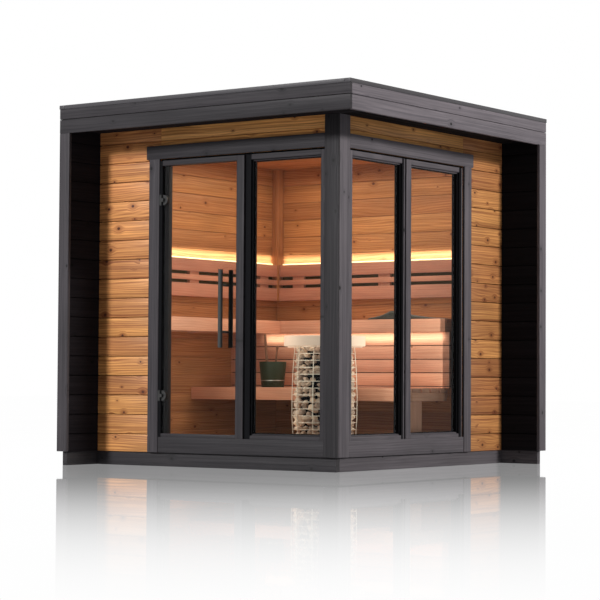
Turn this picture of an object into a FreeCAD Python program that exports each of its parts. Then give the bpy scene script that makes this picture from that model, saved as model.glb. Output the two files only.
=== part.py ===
"""Outdoor sauna cabin with a glazed corner, a hinged glass door and a stone heater.

Millimetres. +Z is up, the origin is the middle of the footprint on the ground.
The door face looks along -Y and the second glazed face looks along +X.
"""
import FreeCAD, Part
import math
import os

os.makedirs("parts", exist_ok=True)

V = FreeCAD.Vector

# Cabin
HEIGHT = 2350.0
ROOF_SIDE = 2326.0
OVERHANG = 285.0
ROOF_DEPTH = 160.0
SOFFIT_THICKNESS = 16.0
CEILING_DROP = 80.0

# Plinth and floor
PLINTH_HEIGHT = 90.0
PLINTH_BOARD = 38.0
PLINTH_SETBACK = 28.0
FLOOR_THICKNESS = 40.0

# Roof edge
FLASHING_HEIGHT = 26.0
FLASHING_WIDTH = 45.0
FLASHING_PROUD = 3.0
MEMBRANE_THICKNESS = 12.0
UPPER_FASCIA = 66.0
FASCIA_JOINT = 3.0
FASCIA_THICKNESS = 22.0
FASCIA_DROP = 24.0

# Walls
WALL_CORE = 46.0
CLADDING = 40.0
LINING = 18.0
GLAZED_WALL = 71.0

# Outer trim
TRIM = 15.0
CORNER_TRIM_FRONT = 105.0
CORNER_TRIM_RIGHT = 124.0
CASING_WIDTH = 86.0
HEADER_HEIGHT = 87.0
HEADER_DROP = 200.0
HEADER_OVERRUN = 24.0
SILL_HEIGHT = 100.0

# Openings, measured along each glazed face from the corner
FRONT_OPENING = 1427.0
RIGHT_OPENING = 1451.0
FRAME_GAP = 13.0
FILLER_SETBACK = 20.0
FRAME_DEPTH = 60.0
FRAME_SETBACK = 4.0
FRAME_HEAD = 32.0
FRAME_FOOT = 23.0

# Door
HINGE_JAMB = 24.0
LATCH_JAMB = 60.0
JAMB_STOP = 34.0
LATCH_STOP = 14.0
STOP_GAP = 11.0
DOOR_CLEARANCE = 6.0
DOOR_GLASS = 8.0
DOOR_SETBACK = 12.0
DOOR_OPENING = 634.0
HINGE_BARREL = 12.0
HINGE_PIN = 6.0
HINGE_PIN_CLEARANCE = 0.05
HINGE_INSET = 4.0
KNUCKLE_GAP = 0.4
HINGE_HEIGHT = 67.0
HINGE_FROM_FOOT = 238.0
HINGE_FROM_HEAD = 217.0
CLAMP_REACH = 37.0
CLAMP_OUTER = 9.0
CLAMP_INNER = 5.0
PLATE_THICKNESS = 2.5
HANDLE_LENGTH = 494.0
HANDLE_MIDDLE = 1010.0
HANDLE_CENTRES = 294.0
HANDLE_BAR = 30.0
HANDLE_STANDOFF = 53.0
HANDLE_STEM = 14.0
HANDLE_FROM_LATCH = 85.0

# Windows
PANE = 20.0
PANE_SETBACK = 26.0
GROOVE = 10.0
GROOVE_CLEARANCE = 0.5
FRONT_WINDOW_GAP = 16.0
FRONT_STILE_FAR = 41.0
FRONT_STILE_NEAR = 30.0
RIGHT_STILE_CORNER = 30.0
RIGHT_STILE_MIDDLE = 31.0
RIGHT_WINDOW_GAP = 19.0
RIGHT_STILE_SECOND = 57.0
RIGHT_STILE_END = 38.0
RIGHT_END_GAP = 24.0
RIGHT_MIDDLE = 736.0

# Benches
UPPER_BENCH_LEVEL = 975.0
LOWER_BENCH_LEVEL = 510.0
UPPER_BENCH_FRONT = 90.0
LOWER_BENCH_FRONT = 85.0
UPPER_BENCH_SHARE = 0.3063
LEFT_BENCH_DEPTH = 467.0
HEATER_TO_BENCH = 69.0
BENCH_NOSING = 30.0
BENCH_END_GAP = 16.0
SLAT_THICKNESS = 28.0
SLAT_GAP = 12.0
SLAT_TARGET = 95.0
FRONT_BOARD = 22.0
BEARER = 45.0
SKIRT_PITCH = 91.0
SKIRT_THICKNESS = 18.0
SKIRT_JOINT = 3.0
BENCH_LEG_WIDTH = 140.0
BENCH_BEARERS = 5
LEFT_BENCH_BEARERS = 4

# Backrests and light strip
BACKREST_GAP = 165.0
BACKREST_BOARDS = (93.0, 37.0, 87.0)
BACKREST_SLOT = 23.0
BACKREST_THICKNESS = 20.0
BACKREST_STANDOFF = 30.0
BACKREST_SPACER = 100.0
LEFT_SPACER_SHARES = (0.02, 0.48, 0.954)
BACK_SPACER_SHARES = (0.065, 0.518, 0.97)
LED_HEIGHT = 12.0
LED_DEPTH = 10.0
CORNER_BATTEN = 60.0

# Heater
HEATER_FROM_RIGHT = 502.0
HEATER_SHARE = 0.3209
HEATER_TOP_RADIUS = 188.0
HEATER_MIDDLE_RADIUS = 206.0
HEATER_FOOT_RADIUS = 194.0
CAGE_HEIGHT = 630.0
CAGE_FOOT = 20.0
CAGE_WIRE = 4.0
CAGE_LAP = 1.0
CAGE_BARS = 10
CAGE_HOOPS = 15
CAGE_BENDS = 5
CAGE_TURN = -3.0
HOOP_SIDES_PER_BAR = 2
BULGE_SHARE = 0.4
STONE_CLEARANCE = 1.0
STONE_HEAP = 22.0
STONE_STEPS = 4
SHOULDER_SHARE = 0.7
GUARD_GAP = 63.0
GUARD_HEIGHT = 68.0
GUARD_THICKNESS = 14.0
GUARD_SPOKE = 16.0
GUARD_SPOKE_THICKNESS = 8.0
GUARD_SPOKES = 4

# Bucket, ladles and headrest
BUCKET_FROM_LEFT = 547.0
BUCKET_STAVES = 24
BUCKET_TOP_RADIUS = 95.0
BUCKET_FOOT_RADIUS = 78.0
BUCKET_HEIGHT = 177.0
BUCKET_WALL = 6.0
LADLE_STICK = 12.0
LADLE_BOWL = 50.0
LADLE_BOWL_HEIGHT = 34.0
LADLE_LENGTH = 345.0
LADLE_LEAN = 5.0
LADLE_OFFSET = 39.0
WHISK_LENGTH = 280.0
WHISK_LEAN = -6.0
WHISK_OFFSET = 10.0
WHISK_LIFT = 1.5
HEADREST_FROM_RIGHT = 486.0
HEADREST_FROM_BACK = 299.0
HEADREST_LENGTH = 520.0
HEADREST_DEPTH = 300.0
HEADREST_HEIGHT = 66.0
HEADREST_CROWN_SHARE = 0.4

# Places worked out from the sizes above
half = ROOF_SIDE / 2
face = half - OVERHANG
side_wall = WALL_CORE + CLADDING
wall_inner = half - side_wall
lining_face = wall_inner - LINING
glazed_outer = face - TRIM
glazed_inner = glazed_outer - GLAZED_WALL
roof_deck_top = HEIGHT - FLASHING_HEIGHT
soffit_level = HEIGHT - ROOF_DEPTH
ceiling_level = soffit_level - CEILING_DROP
header_level = soffit_level - HEADER_DROP
deck_foot = soffit_level + SOFFIT_THICKNESS
fascia_foot = soffit_level - FASCIA_DROP
fascia_split = roof_deck_top - UPPER_FASCIA
sill_top = PLINTH_HEIGHT + SILL_HEIGHT
frame_top = header_level - FRAME_GAP
floor_top = PLINTH_HEIGHT + FLOOR_THICKNESS
front_left = face - FRONT_OPENING
right_far = -face + RIGHT_OPENING
post_left = face - CORNER_TRIM_FRONT
post_far = -face + CORNER_TRIM_RIGHT
backrest_foot = UPPER_BENCH_LEVEL + BACKREST_GAP
frame_outer = face - FRAME_SETBACK
frame_inner = frame_outer - FRAME_DEPTH
glass_low = sill_top + FRAME_FOOT
glass_high = frame_top - FRAME_HEAD


def box(x0, x1, y0, y1, z0, z1):
    """A block between two corners, given in any order."""
    low = V(min(x0, x1), min(y0, y1), min(z0, z1))
    size = (abs(x1 - x0), abs(y1 - y0), abs(z1 - z0))
    return Part.makeBox(*size, low)


def cylinder(radius, length, base, axis=V(0, 0, 1)):
    return Part.makeCylinder(radius, length, base, axis)


def prism(points, z0, z1):
    """A plan outline raised between two levels."""
    corners = [V(x, y, z0) for x, y in points]
    outline = Part.makePolygon(corners + corners[:1])
    return Part.Face(outline).extrude(V(0, 0, z1 - z0))


def faceted(outlines):
    """A closed solid whose flat sides join level outlines with equally many corners."""
    faces = [Part.Face(Part.makePolygon(o + o[:1])) for o in (outlines[0], outlines[-1])]
    for lower, upper in zip(outlines, outlines[1:]):
        for i in range(len(lower)):
            side = [lower[i - 1], lower[i], upper[i], upper[i - 1]]
            faces.append(Part.Face(Part.makePolygon(side + side[:1])))
    return Part.makeSolid(Part.makeShell(faces))


def ring_of_corners(radius, sides, z):
    """Corners of a level polygon whose sides touch a circle."""
    corner = radius / math.cos(math.pi / sides)
    angles = [math.tau * (i + 0.5) / sides for i in range(sides)]
    return [V(corner * math.cos(a), corner * math.sin(a), z) for a in angles]


def fuse(solids):
    whole = solids[0]
    for solid in solids[1:]:
        whole = whole.fuse(solid)
    return whole.removeSplitter()


def save(name, *solids):
    shape = solids[0] if len(solids) == 1 else Part.makeCompound(list(solids))
    shape.exportStep("parts/%s.step" % name)


def mirrored_to_right(shape):
    """Swaps X and Y, so that a front-face piece lies on the right face."""
    flipped = shape.mirror(V(0, 0, 0), V(1, -1, 0))
    turned = flipped.copy()
    turned.rotate(V(0, 0, 0), V(0, 0, 1), 180)
    return turned


# Plinth and floor

def plinth():
    outer = half - PLINTH_SETBACK
    inner = outer - PLINTH_BOARD
    near = face - PLINTH_SETBACK
    left = box(-outer, -inner, -outer, outer, 0, PLINTH_HEIGHT)
    right = box(near - PLINTH_BOARD, near, -near + PLINTH_BOARD, inner, 0, PLINTH_HEIGHT)
    back = box(-inner, outer, inner, outer, 0, PLINTH_HEIGHT)
    front = box(-inner, near, -near, -near + PLINTH_BOARD, 0, PLINTH_HEIGHT)
    save("plinth_sides", left, right)
    save("plinth_ends", front, back)


def beside_post(low, high):
    """A board over the whole room, notched round the corner post."""
    board = box(-wall_inner, glazed_inner, -glazed_inner, wall_inner, low, high)
    return board.cut(box(post_left, glazed_inner, -glazed_inner, post_far, low, high))


def floor():
    save("floor_deck", beside_post(PLINTH_HEIGHT, floor_top))


# Closed walls: their ends stand out past the glazed faces as fins

def closed_walls():
    skin = half - CLADDING
    end = half - FASCIA_THICKNESS
    save("left_wall", box(-skin, -wall_inner, -end, skin, PLINTH_HEIGHT, deck_foot))
    save("left_cladding", box(-half, -skin, -end, half, PLINTH_HEIGHT, roof_deck_top))
    save("back_wall", box(-wall_inner, end, wall_inner, skin, PLINTH_HEIGHT, deck_foot))
    save("back_cladding", box(-skin, end, skin, half, PLINTH_HEIGHT, roof_deck_top))
    save("fin_trims",
         box(-half, -wall_inner, -half, -end, PLINTH_HEIGHT, fascia_foot),
         box(end, half, wall_inner, half, PLINTH_HEIGHT, fascia_foot))


def linings():
    top = ceiling_level
    batten = CORNER_BATTEN
    save("left_lining", box(-wall_inner, -lining_face, -glazed_inner, wall_inner, floor_top, top))
    save("back_lining", box(-lining_face, glazed_inner, lining_face, wall_inner, floor_top, top))
    save("corner_batten", box(-lining_face, -lining_face + batten, lining_face - batten, lining_face,
                              backrest_foot, top))


def glazed_walls():
    front = box(-wall_inner, front_left, -glazed_outer, -glazed_inner, PLINTH_HEIGHT, deck_foot)
    right = box(glazed_inner, glazed_outer, right_far, wall_inner, PLINTH_HEIGHT, deck_foot)
    post = box(post_left, glazed_outer, -glazed_outer, post_far, PLINTH_HEIGHT, deck_foot)
    front_lintel = box(front_left, post_left, -glazed_outer, -glazed_inner, header_level, deck_foot)
    right_lintel = box(glazed_inner, glazed_outer, post_far, right_far, header_level, deck_foot)
    save("front_wall", front)
    save("right_wall", right)
    save("corner_post", post)
    save("lintels", front_lintel, right_lintel)
    front_sill = box(front_left, post_left, -frame_outer, -glazed_inner, PLINTH_HEIGHT, sill_top)
    right_sill = box(glazed_inner, frame_outer, post_far, right_far, PLINTH_HEIGHT, sill_top)
    save("sills", front_sill, right_sill)


def outer_trim():
    low = PLINTH_HEIGHT
    outline = [(post_left, -face), (face, -face), (face, post_far), (glazed_outer, post_far),
               (glazed_outer, -glazed_outer), (post_left, -glazed_outer)]
    save("corner_trim", prism(outline, low, soffit_level))
    head = header_level + HEADER_HEIGHT
    header_left = front_left - CASING_WIDTH - HEADER_OVERRUN
    header_far = right_far + CASING_WIDTH + HEADER_OVERRUN
    save("casing_headers",
         box(header_left, post_left, -face, -glazed_outer, header_level, head),
         box(glazed_outer, face, post_far, header_far, header_level, head))
    save("casing_sides",
         box(front_left - CASING_WIDTH, front_left, -face, -glazed_outer, low, header_level),
         box(glazed_outer, face, right_far, right_far + CASING_WIDTH, low, header_level))


# Roof

def roof():
    skin = half - CLADDING
    fascia_back = half - FASCIA_THICKNESS
    save("roof_deck", box(-skin, fascia_back, -fascia_back, skin, deck_foot, roof_deck_top))
    inner = half - FLASHING_WIDTH + FLASHING_PROUD
    outer = half + FLASHING_PROUD
    save("roof_membrane", box(-inner, inner, -inner, inner, roof_deck_top,
                              roof_deck_top + MEMBRANE_THICKNESS))
    save("flashing_sides",
         box(-outer, -inner, -outer, outer, roof_deck_top, HEIGHT),
         box(inner, outer, -outer, outer, roof_deck_top, HEIGHT))
    save("flashing_ends",
         box(-inner, inner, -outer, -inner, roof_deck_top, HEIGHT),
         box(-inner, inner, inner, outer, roof_deck_top, HEIGHT))
    low_top = fascia_split - FASCIA_JOINT
    save("front_fascia",
         box(-half, half, -half, -fascia_back, fascia_split, roof_deck_top),
         box(-half, half, -half, -fascia_back, fascia_foot, low_top))
    save("right_fascia",
         box(fascia_back, half, -fascia_back, half, fascia_split, roof_deck_top),
         box(fascia_back, half, -fascia_back, half, fascia_foot, low_top))
    outline = [(-wall_inner, -fascia_back), (fascia_back, -fascia_back), (fascia_back, wall_inner),
               (glazed_outer, wall_inner), (glazed_outer, -glazed_outer), (-wall_inner, -glazed_outer)]
    save("soffit", prism(outline, soffit_level, deck_foot))
    save("ceiling", beside_post(ceiling_level, deck_foot))


# Windows

def grooved(member, glass):
    """Cuts the glazing groove that the pane's edge sits in."""
    grown = glass.BoundBox
    c = GROOVE_CLEARANCE
    return member.cut(box(grown.XMin - c, grown.XMax + c, grown.YMin - c, grown.YMax + c,
                          grown.ZMin - c, grown.ZMax + c))


def front_unit(x0, x1, left_stile, right_stile):
    """A window on the front face, as its two stiles, its two rails and its pane."""
    pane_front = -face + PANE_SETBACK
    edge = GROOVE - GROOVE_CLEARANCE
    pane = box(x0 + left_stile - edge, x1 - right_stile + edge, pane_front, pane_front + PANE,
               glass_low - edge, glass_high + edge)
    stiles = [box(x0, x0 + left_stile, -frame_outer, -frame_inner, sill_top, frame_top),
              box(x1 - right_stile, x1, -frame_outer, -frame_inner, sill_top, frame_top)]
    rails = [box(x0 + left_stile, x1 - right_stile, -frame_outer, -frame_inner, sill_top, glass_low),
             box(x0 + left_stile, x1 - right_stile, -frame_outer, -frame_inner, glass_high, frame_top)]
    return ([grooved(s, pane) for s in stiles], [grooved(r, pane) for r in rails], pane)


def right_unit(y0, y1, near_stile, far_stile):
    """A window on the right face, made as a front one and turned about the corner."""
    stiles, rails, pane = front_unit(-y1, -y0, far_stile, near_stile)
    turn = mirrored_to_right
    return [turn(s) for s in stiles], [turn(r) for r in rails], turn(pane)


door_unit_right = front_left + DOOR_OPENING + LATCH_JAMB
front_window_left = door_unit_right + FRONT_WINDOW_GAP
first_window_far = -face + RIGHT_MIDDLE
second_window_near = first_window_far + RIGHT_WINDOW_GAP
right_window_far = right_far - RIGHT_END_GAP


def windows():
    stiles, rails, pane = front_unit(front_window_left, post_left, FRONT_STILE_FAR, FRONT_STILE_NEAR)
    save("front_window_stiles", *stiles)
    save("front_window_rails", *rails)
    save("front_window_glass", pane)
    first = right_unit(post_far, first_window_far, RIGHT_STILE_CORNER, RIGHT_STILE_MIDDLE)
    second = right_unit(second_window_near, right_window_far, RIGHT_STILE_SECOND, RIGHT_STILE_END)
    save("right_window_stiles", *first[0], *second[0])
    save("right_window_rails", *first[1], *second[1])
    save("right_window_glass", first[2], second[2])


def fillers():
    """Recessed strips that close the joints between the frames and above them."""
    front = -frame_outer + FILLER_SETBACK
    right = frame_outer - FILLER_SETBACK
    save("mullion_fillers",
         box(door_unit_right, front_window_left, front, -frame_inner, sill_top, frame_top),
         box(frame_inner, right, first_window_far, second_window_near, sill_top, frame_top),
         box(frame_inner, right, right_window_far, right_far, sill_top, frame_top))
    save("head_fillers",
         box(front_left, post_left, front, -frame_inner, frame_top, header_level),
         box(frame_inner, right, post_far, right_far, frame_top, header_level))


# Door: the frame, the fixed hinge plates and the swinging leaf

latch_left = front_left + DOOR_OPENING
jamb_right = front_left + HINGE_JAMB
door_left = jamb_right + DOOR_CLEARANCE
door_right = latch_left - DOOR_CLEARANCE
door_front = -face + DOOR_SETBACK
door_back = door_front + DOOR_GLASS
door_low = glass_low + DOOR_CLEARANCE
door_high = glass_high - DOOR_CLEARANCE
stop_front = door_back + STOP_GAP
hinge_x = jamb_right - HINGE_INSET
hinge_y = -frame_outer - PLATE_THICKNESS - HINGE_BARREL / 2


def door_frame():
    front = -frame_outer
    back = -frame_inner
    stop_left = jamb_right + JAMB_STOP
    stop_right = latch_left - LATCH_STOP
    hinge_post = fuse([box(front_left, jamb_right, front, back, sill_top, frame_top),
                       box(jamb_right, stop_left, stop_front, back, sill_top, frame_top)])
    latch_post = fuse([box(latch_left, door_unit_right, front, back, sill_top, frame_top),
                       box(stop_right, latch_left, stop_front, back, sill_top, frame_top)])
    save("door_jambs", hinge_post, latch_post)
    rails = []
    for low, high in ((sill_top, glass_low), (glass_high, frame_top)):
        rails.append(fuse([box(jamb_right, latch_left, front, stop_front, low, high),
                           box(stop_left, stop_right, stop_front, back, low, high)]))
    save("door_rails", *rails)


def hinge_plate(low):
    """The fixed half of one hinge: plate, web, two knuckles and the pin."""
    third = HINGE_HEIGHT / 3
    radius = HINGE_BARREL / 2
    plate_front = -frame_outer - PLATE_THICKNESS
    pieces = [box(front_left, hinge_x - radius, plate_front, -frame_outer, low, low + HINGE_HEIGHT),
              cylinder(HINGE_PIN / 2, HINGE_HEIGHT, V(hinge_x, hinge_y, low))]
    for foot in (low, low + 2 * third):
        pieces.append(cylinder(radius, third, V(hinge_x, hinge_y, foot)))
        pieces.append(box(hinge_x - radius, hinge_x + radius, hinge_y, plate_front, foot, foot + third))
        pieces.append(box(hinge_x - radius, jamb_right - HINGE_INSET / 2, plate_front, -frame_outer,
                          foot, foot + third))
    return fuse(pieces)


def clamp_jaw(front, back, low):
    """One D-shaped jaw, straight at the glass edge and round towards the middle."""
    radius = HINGE_HEIGHT / 2
    round_x = door_left + CLAMP_REACH - radius
    block = box(door_left, round_x, front, back, low, low + HINGE_HEIGHT)
    disc = cylinder(radius, back - front, V(round_x, front, low + radius), V(0, 1, 0))
    side = box(round_x, round_x + radius, front, back, low, low + HINGE_HEIGHT)
    return block.fuse(disc.common(side)).removeSplitter()


def door_clamp(low):
    """The moving half of one hinge: the middle knuckle and the outer jaw."""
    third = HINGE_HEIGHT / 3
    foot = low + third + KNUCKLE_GAP
    height = third - 2 * KNUCKLE_GAP
    jaw_front = door_front - CLAMP_OUTER
    arm_front = hinge_y - HINGE_BARREL / 2
    arm = box(hinge_x, door_left + HINGE_BARREL, arm_front, jaw_front, foot, foot + height)
    knuckle = cylinder(HINGE_BARREL / 2, height, V(hinge_x, hinge_y, foot))
    jaw = clamp_jaw(jaw_front, door_front, low)
    bore = cylinder(HINGE_PIN / 2 + HINGE_PIN_CLEARANCE, height, V(hinge_x, hinge_y, foot))
    return fuse([jaw, arm, knuckle]).cut(bore)


def door():
    glass = box(door_left, door_right, door_front, door_back, door_low, door_high)
    middle = (door_front + door_back) / 2
    handle_x = door_right - HANDLE_FROM_LATCH
    foot = HANDLE_MIDDLE - HANDLE_LENGTH / 2
    pieces = []
    for side in (-1, 1):
        bar_y = middle + side * HANDLE_STANDOFF
        pieces.append(cylinder(HANDLE_BAR / 2, HANDLE_LENGTH, V(handle_x, bar_y, foot)))
        z = HANDLE_MIDDLE + side * HANDLE_CENTRES / 2
        start = V(handle_x, middle - HANDLE_STANDOFF, z)
        stem = cylinder(HANDLE_STEM / 2, 2 * HANDLE_STANDOFF, start, V(0, 1, 0))
        pieces.append(stem)
        glass = glass.cut(stem)
    save("door_glass", glass)
    save("door_handle", fuse(pieces))
    middles = (door_low + HINGE_FROM_FOOT, door_high - HINGE_FROM_HEAD)
    lows = [hinge_middle - HINGE_HEIGHT / 2 for hinge_middle in middles]
    save("hinge_plates", *[hinge_plate(low) for low in lows])
    jaws = []
    for low in lows:
        jaws.append(door_clamp(low))
        jaws.append(clamp_jaw(door_back, door_back + CLAMP_INNER, low))
    save("door_clamps", *jaws)


# Benches

def slats(x0, x1, y0, y1, top, along_x):
    """Bench boards laid side by side with open joints between them."""
    depth = (y1 - y0) if along_x else (x1 - x0)
    count = max(1, round((depth + SLAT_GAP) / (SLAT_TARGET + SLAT_GAP)))
    width = (depth + SLAT_GAP) / count - SLAT_GAP
    boards = []
    for i in range(count):
        start = i * (width + SLAT_GAP)
        if along_x:
            boards.append(box(x0, x1, y0 + start, y0 + start + width, top - SLAT_THICKNESS, top))
        else:
            boards.append(box(x0 + start, x0 + start + width, y0, y1, top - SLAT_THICKNESS, top))
    return boards


def bench(x0, x1, y0, y1, top, front_height, along_x, bearers):
    """Slats on cross bearers behind a front board, as one fixed bench."""
    foot = top - front_height
    under = top - SLAT_THICKNESS
    if along_x:
        pieces = slats(x0, x1, y0 + FRONT_BOARD, y1, top, True)
        pieces.append(box(x0, x1, y0, y0 + FRONT_BOARD, foot, top))
    else:
        pieces = slats(x0, x1 - FRONT_BOARD, y0, y1, top, False)
        pieces.append(box(x1 - FRONT_BOARD, x1, y0, y1, foot, top))
    span = (x1 - x0) if along_x else (y1 - y0)
    for i in range(bearers):
        start = i * (span - BEARER) / (bearers - 1)
        if along_x:
            pieces.append(box(x0 + start, x0 + start + BEARER, y0 + FRONT_BOARD, y1, foot, under))
        else:
            pieces.append(box(x0, x1 - FRONT_BOARD, y0 + start, y0 + start + BEARER, foot, under))
    return fuse(pieces)


bench_right = glazed_inner - BENCH_END_GAP
room_depth = lining_face + glazed_inner
upper_front = lining_face - UPPER_BENCH_SHARE * room_depth
skirt_front = upper_front + BENCH_NOSING
heater_x = glazed_inner - HEATER_FROM_RIGHT
heater_y = -glazed_inner + HEATER_SHARE * room_depth
lower_front = heater_y + HEATER_MIDDLE_RADIUS + HEATER_TO_BENCH
left_bench_edge = -lining_face + LEFT_BENCH_DEPTH


def benches():
    save("upper_bench_back", bench(-lining_face, bench_right, upper_front, lining_face,
                                   UPPER_BENCH_LEVEL, UPPER_BENCH_FRONT, True, BENCH_BEARERS))
    save("upper_bench_left", bench(-lining_face, left_bench_edge, -glazed_inner, upper_front,
                                   UPPER_BENCH_LEVEL, UPPER_BENCH_FRONT, False, LEFT_BENCH_BEARERS))
    save("lower_bench", bench(-lining_face, bench_right, lower_front, skirt_front,
                              LOWER_BENCH_LEVEL, LOWER_BENCH_FRONT, True, BENCH_BEARERS))
    boards = []
    z = UPPER_BENCH_LEVEL - UPPER_BENCH_FRONT
    while z > LOWER_BENCH_LEVEL + SKIRT_JOINT:
        low = max(z - SKIRT_PITCH + SKIRT_JOINT, LOWER_BENCH_LEVEL)
        boards.append(box(-lining_face, glazed_inner, skirt_front, skirt_front + SKIRT_THICKNESS, low, z))
        z = z - SKIRT_PITCH
    save("bench_skirt", *boards)
    leg_foot = LOWER_BENCH_LEVEL - LOWER_BENCH_FRONT
    legs = []
    for x in (bench_right - FRONT_BOARD, 0.0):
        legs.append(box(x, x + FRONT_BOARD, lower_front, lower_front + BENCH_LEG_WIDTH, floor_top, leg_foot))
    save("bench_legs", *legs)


def backrests():
    left = -lining_face + BACKREST_STANDOFF
    back = lining_face - BACKREST_STANDOFF
    top = backrest_foot + sum(BACKREST_BOARDS) + 2 * BACKREST_SLOT
    inner_y = lining_face - CORNER_BATTEN
    inner_x = -lining_face + CORNER_BATTEN
    left_pieces = []
    back_pieces = []
    z = backrest_foot
    for height in BACKREST_BOARDS:
        left_pieces.append(box(left, left + BACKREST_THICKNESS, -glazed_inner, inner_y, z, z + height))
        back_pieces.append(box(inner_x, bench_right, back - BACKREST_THICKNESS, back, z, z + height))
        z = z + height + BACKREST_SLOT
    for share in LEFT_SPACER_SHARES:
        y = -glazed_inner + share * (inner_y + glazed_inner - BACKREST_SPACER)
        left_pieces.append(box(-lining_face, left, y, y + BACKREST_SPACER, backrest_foot, top))
    for share in BACK_SPACER_SHARES:
        x = inner_x + share * (bench_right - inner_x - BACKREST_SPACER)
        back_pieces.append(box(x, x + BACKREST_SPACER, back, lining_face, backrest_foot, top))
    save("left_backrest", fuse(left_pieces))
    save("back_backrest", fuse(back_pieces))
    save("light_strips",
         box(-lining_face, -lining_face + LED_DEPTH, -glazed_inner, inner_y, top, top + LED_HEIGHT),
         box(inner_x, glazed_inner, lining_face - LED_DEPTH, lining_face, top, top + LED_HEIGHT))


# Heater

def heater_radius(share):
    """Radius of the slightly bulging cage at a share of its height."""
    if share < BULGE_SHARE:
        t = 1 - share / BULGE_SHARE
        return HEATER_MIDDLE_RADIUS + (HEATER_FOOT_RADIUS - HEATER_MIDDLE_RADIUS) * t * t
    t = (share - BULGE_SHARE) / (1 - BULGE_SHARE)
    return HEATER_MIDDLE_RADIUS + (HEATER_TOP_RADIUS - HEATER_MIDDLE_RADIUS) * t * t


def heater_profile(offset, steps):
    """Points up the side of the cage, moved in or out by an offset."""
    foot = floor_top + CAGE_FOOT
    points = []
    for i in range(steps + 1):
        share = i / steps
        points.append(V(heater_radius(share) + offset, 0, foot + share * CAGE_HEIGHT))
    return points


HOOP_SIDES = CAGE_BARS * HOOP_SIDES_PER_BAR


def hoop_disc(radius, z):
    """A disc as thick as the wire, with a flat side behind each upright bar."""
    return faceted([ring_of_corners(radius, HOOP_SIDES, z),
                    ring_of_corners(radius, HOOP_SIDES, z + CAGE_WIRE)])


def heater_cage():
    """Upright wires that follow the bulge, lapped on level hoops."""
    foot = floor_top + CAGE_FOOT
    inner = heater_profile(-CAGE_LAP, CAGE_BENDS)
    outer = heater_profile(CAGE_WIRE - CAGE_LAP, CAGE_BENDS)
    outline = Part.makePolygon(inner + outer[::-1] + inner[:1])
    bar = Part.Face(outline).extrude(V(0, CAGE_WIRE, 0))
    bar.translate(V(0, -CAGE_WIRE / 2, 0))
    bars = []
    for i in range(CAGE_BARS):
        turned = bar.copy()
        turned.rotate(V(0, 0, 0), V(0, 0, 1), i * 360 / CAGE_BARS)
        bars.append(turned)
    hoops = []
    for i in range(CAGE_HOOPS):
        share = i / (CAGE_HOOPS - 1)
        radius = heater_radius(share)
        z = foot + share * (CAGE_HEIGHT - CAGE_WIRE)
        hoops.append(hoop_disc(radius, z).cut(hoop_disc(radius - CAGE_WIRE, z)))
    cage = Part.makeCompound(bars).fuse(Part.makeCompound(hoops))
    cage.rotate(V(0, 0, 0), V(0, 0, 1), CAGE_TURN)
    cage.translate(V(heater_x, heater_y, 0))
    return cage


def heater_stones():
    """The packed stones, as one heap that follows the cage and ends in a low crown."""
    levels = heater_profile(-CAGE_WIRE - STONE_CLEARANCE, STONE_STEPS)
    levels.append(V(levels[-1].x * SHOULDER_SHARE, 0, levels[-1].z + STONE_HEAP))
    stones = faceted([ring_of_corners(level.x, HOOP_SIDES, level.z) for level in levels])
    stones.rotate(V(0, 0, 0), V(0, 0, 1), CAGE_TURN)
    stones.translate(V(heater_x, heater_y, 0))
    return stones


def heater_guard():
    """A bent ring round the top of the heater, on spokes from the cage's top hoop."""
    level = floor_top + CAGE_FOOT + CAGE_HEIGHT
    inner = HEATER_TOP_RADIUS + GUARD_GAP
    centre = V(heater_x, heater_y, level)
    ring = cylinder(inner + GUARD_THICKNESS, GUARD_HEIGHT, centre)
    ring = ring.cut(cylinder(inner, GUARD_HEIGHT, centre))
    start = HEATER_TOP_RADIUS
    end = inner + GUARD_THICKNESS / 2
    for i in range(GUARD_SPOKES):
        bay = round(i * CAGE_BARS / GUARD_SPOKES) + 0.5
        spoke = box(start, end, -GUARD_SPOKE / 2, GUARD_SPOKE / 2, 0, GUARD_SPOKE_THICKNESS)
        spoke.rotate(V(0, 0, 0), V(0, 0, 1), bay * 360 / CAGE_BARS + CAGE_TURN)
        spoke.translate(V(heater_x, heater_y, level - GUARD_SPOKE_THICKNESS))
        ring = ring.fuse(spoke)
    return ring


def heater():
    save("heater_base", cylinder(HEATER_FOOT_RADIUS + CAGE_WIRE, CAGE_FOOT,
                                 V(heater_x, heater_y, floor_top)))
    save("heater_cage", heater_cage())
    save("heater_stones", heater_stones())
    save("heater_guard", heater_guard())


# Bucket with its ladles, and the headrest

bucket_x = -lining_face + BUCKET_FROM_LEFT
bucket_y = (lower_front + skirt_front) / 2


def bucket_taper(radius_cut, foot, top):
    """A tapered round of flat staves between two heights, thinner by a wall."""
    spread = (BUCKET_TOP_RADIUS - BUCKET_FOOT_RADIUS) / BUCKET_HEIGHT
    rings = []
    for z in (foot, top):
        radius = BUCKET_FOOT_RADIUS + spread * z - radius_cut
        rings.append(ring_of_corners(radius, BUCKET_STAVES, z))
    return faceted(rings)


def bucket():
    body = bucket_taper(0, 0, BUCKET_HEIGHT)
    body = body.cut(bucket_taper(BUCKET_WALL, BUCKET_WALL, BUCKET_HEIGHT + BUCKET_WALL))
    body.translate(V(bucket_x, bucket_y, LOWER_BENCH_LEVEL))
    save("bucket", body)


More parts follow.
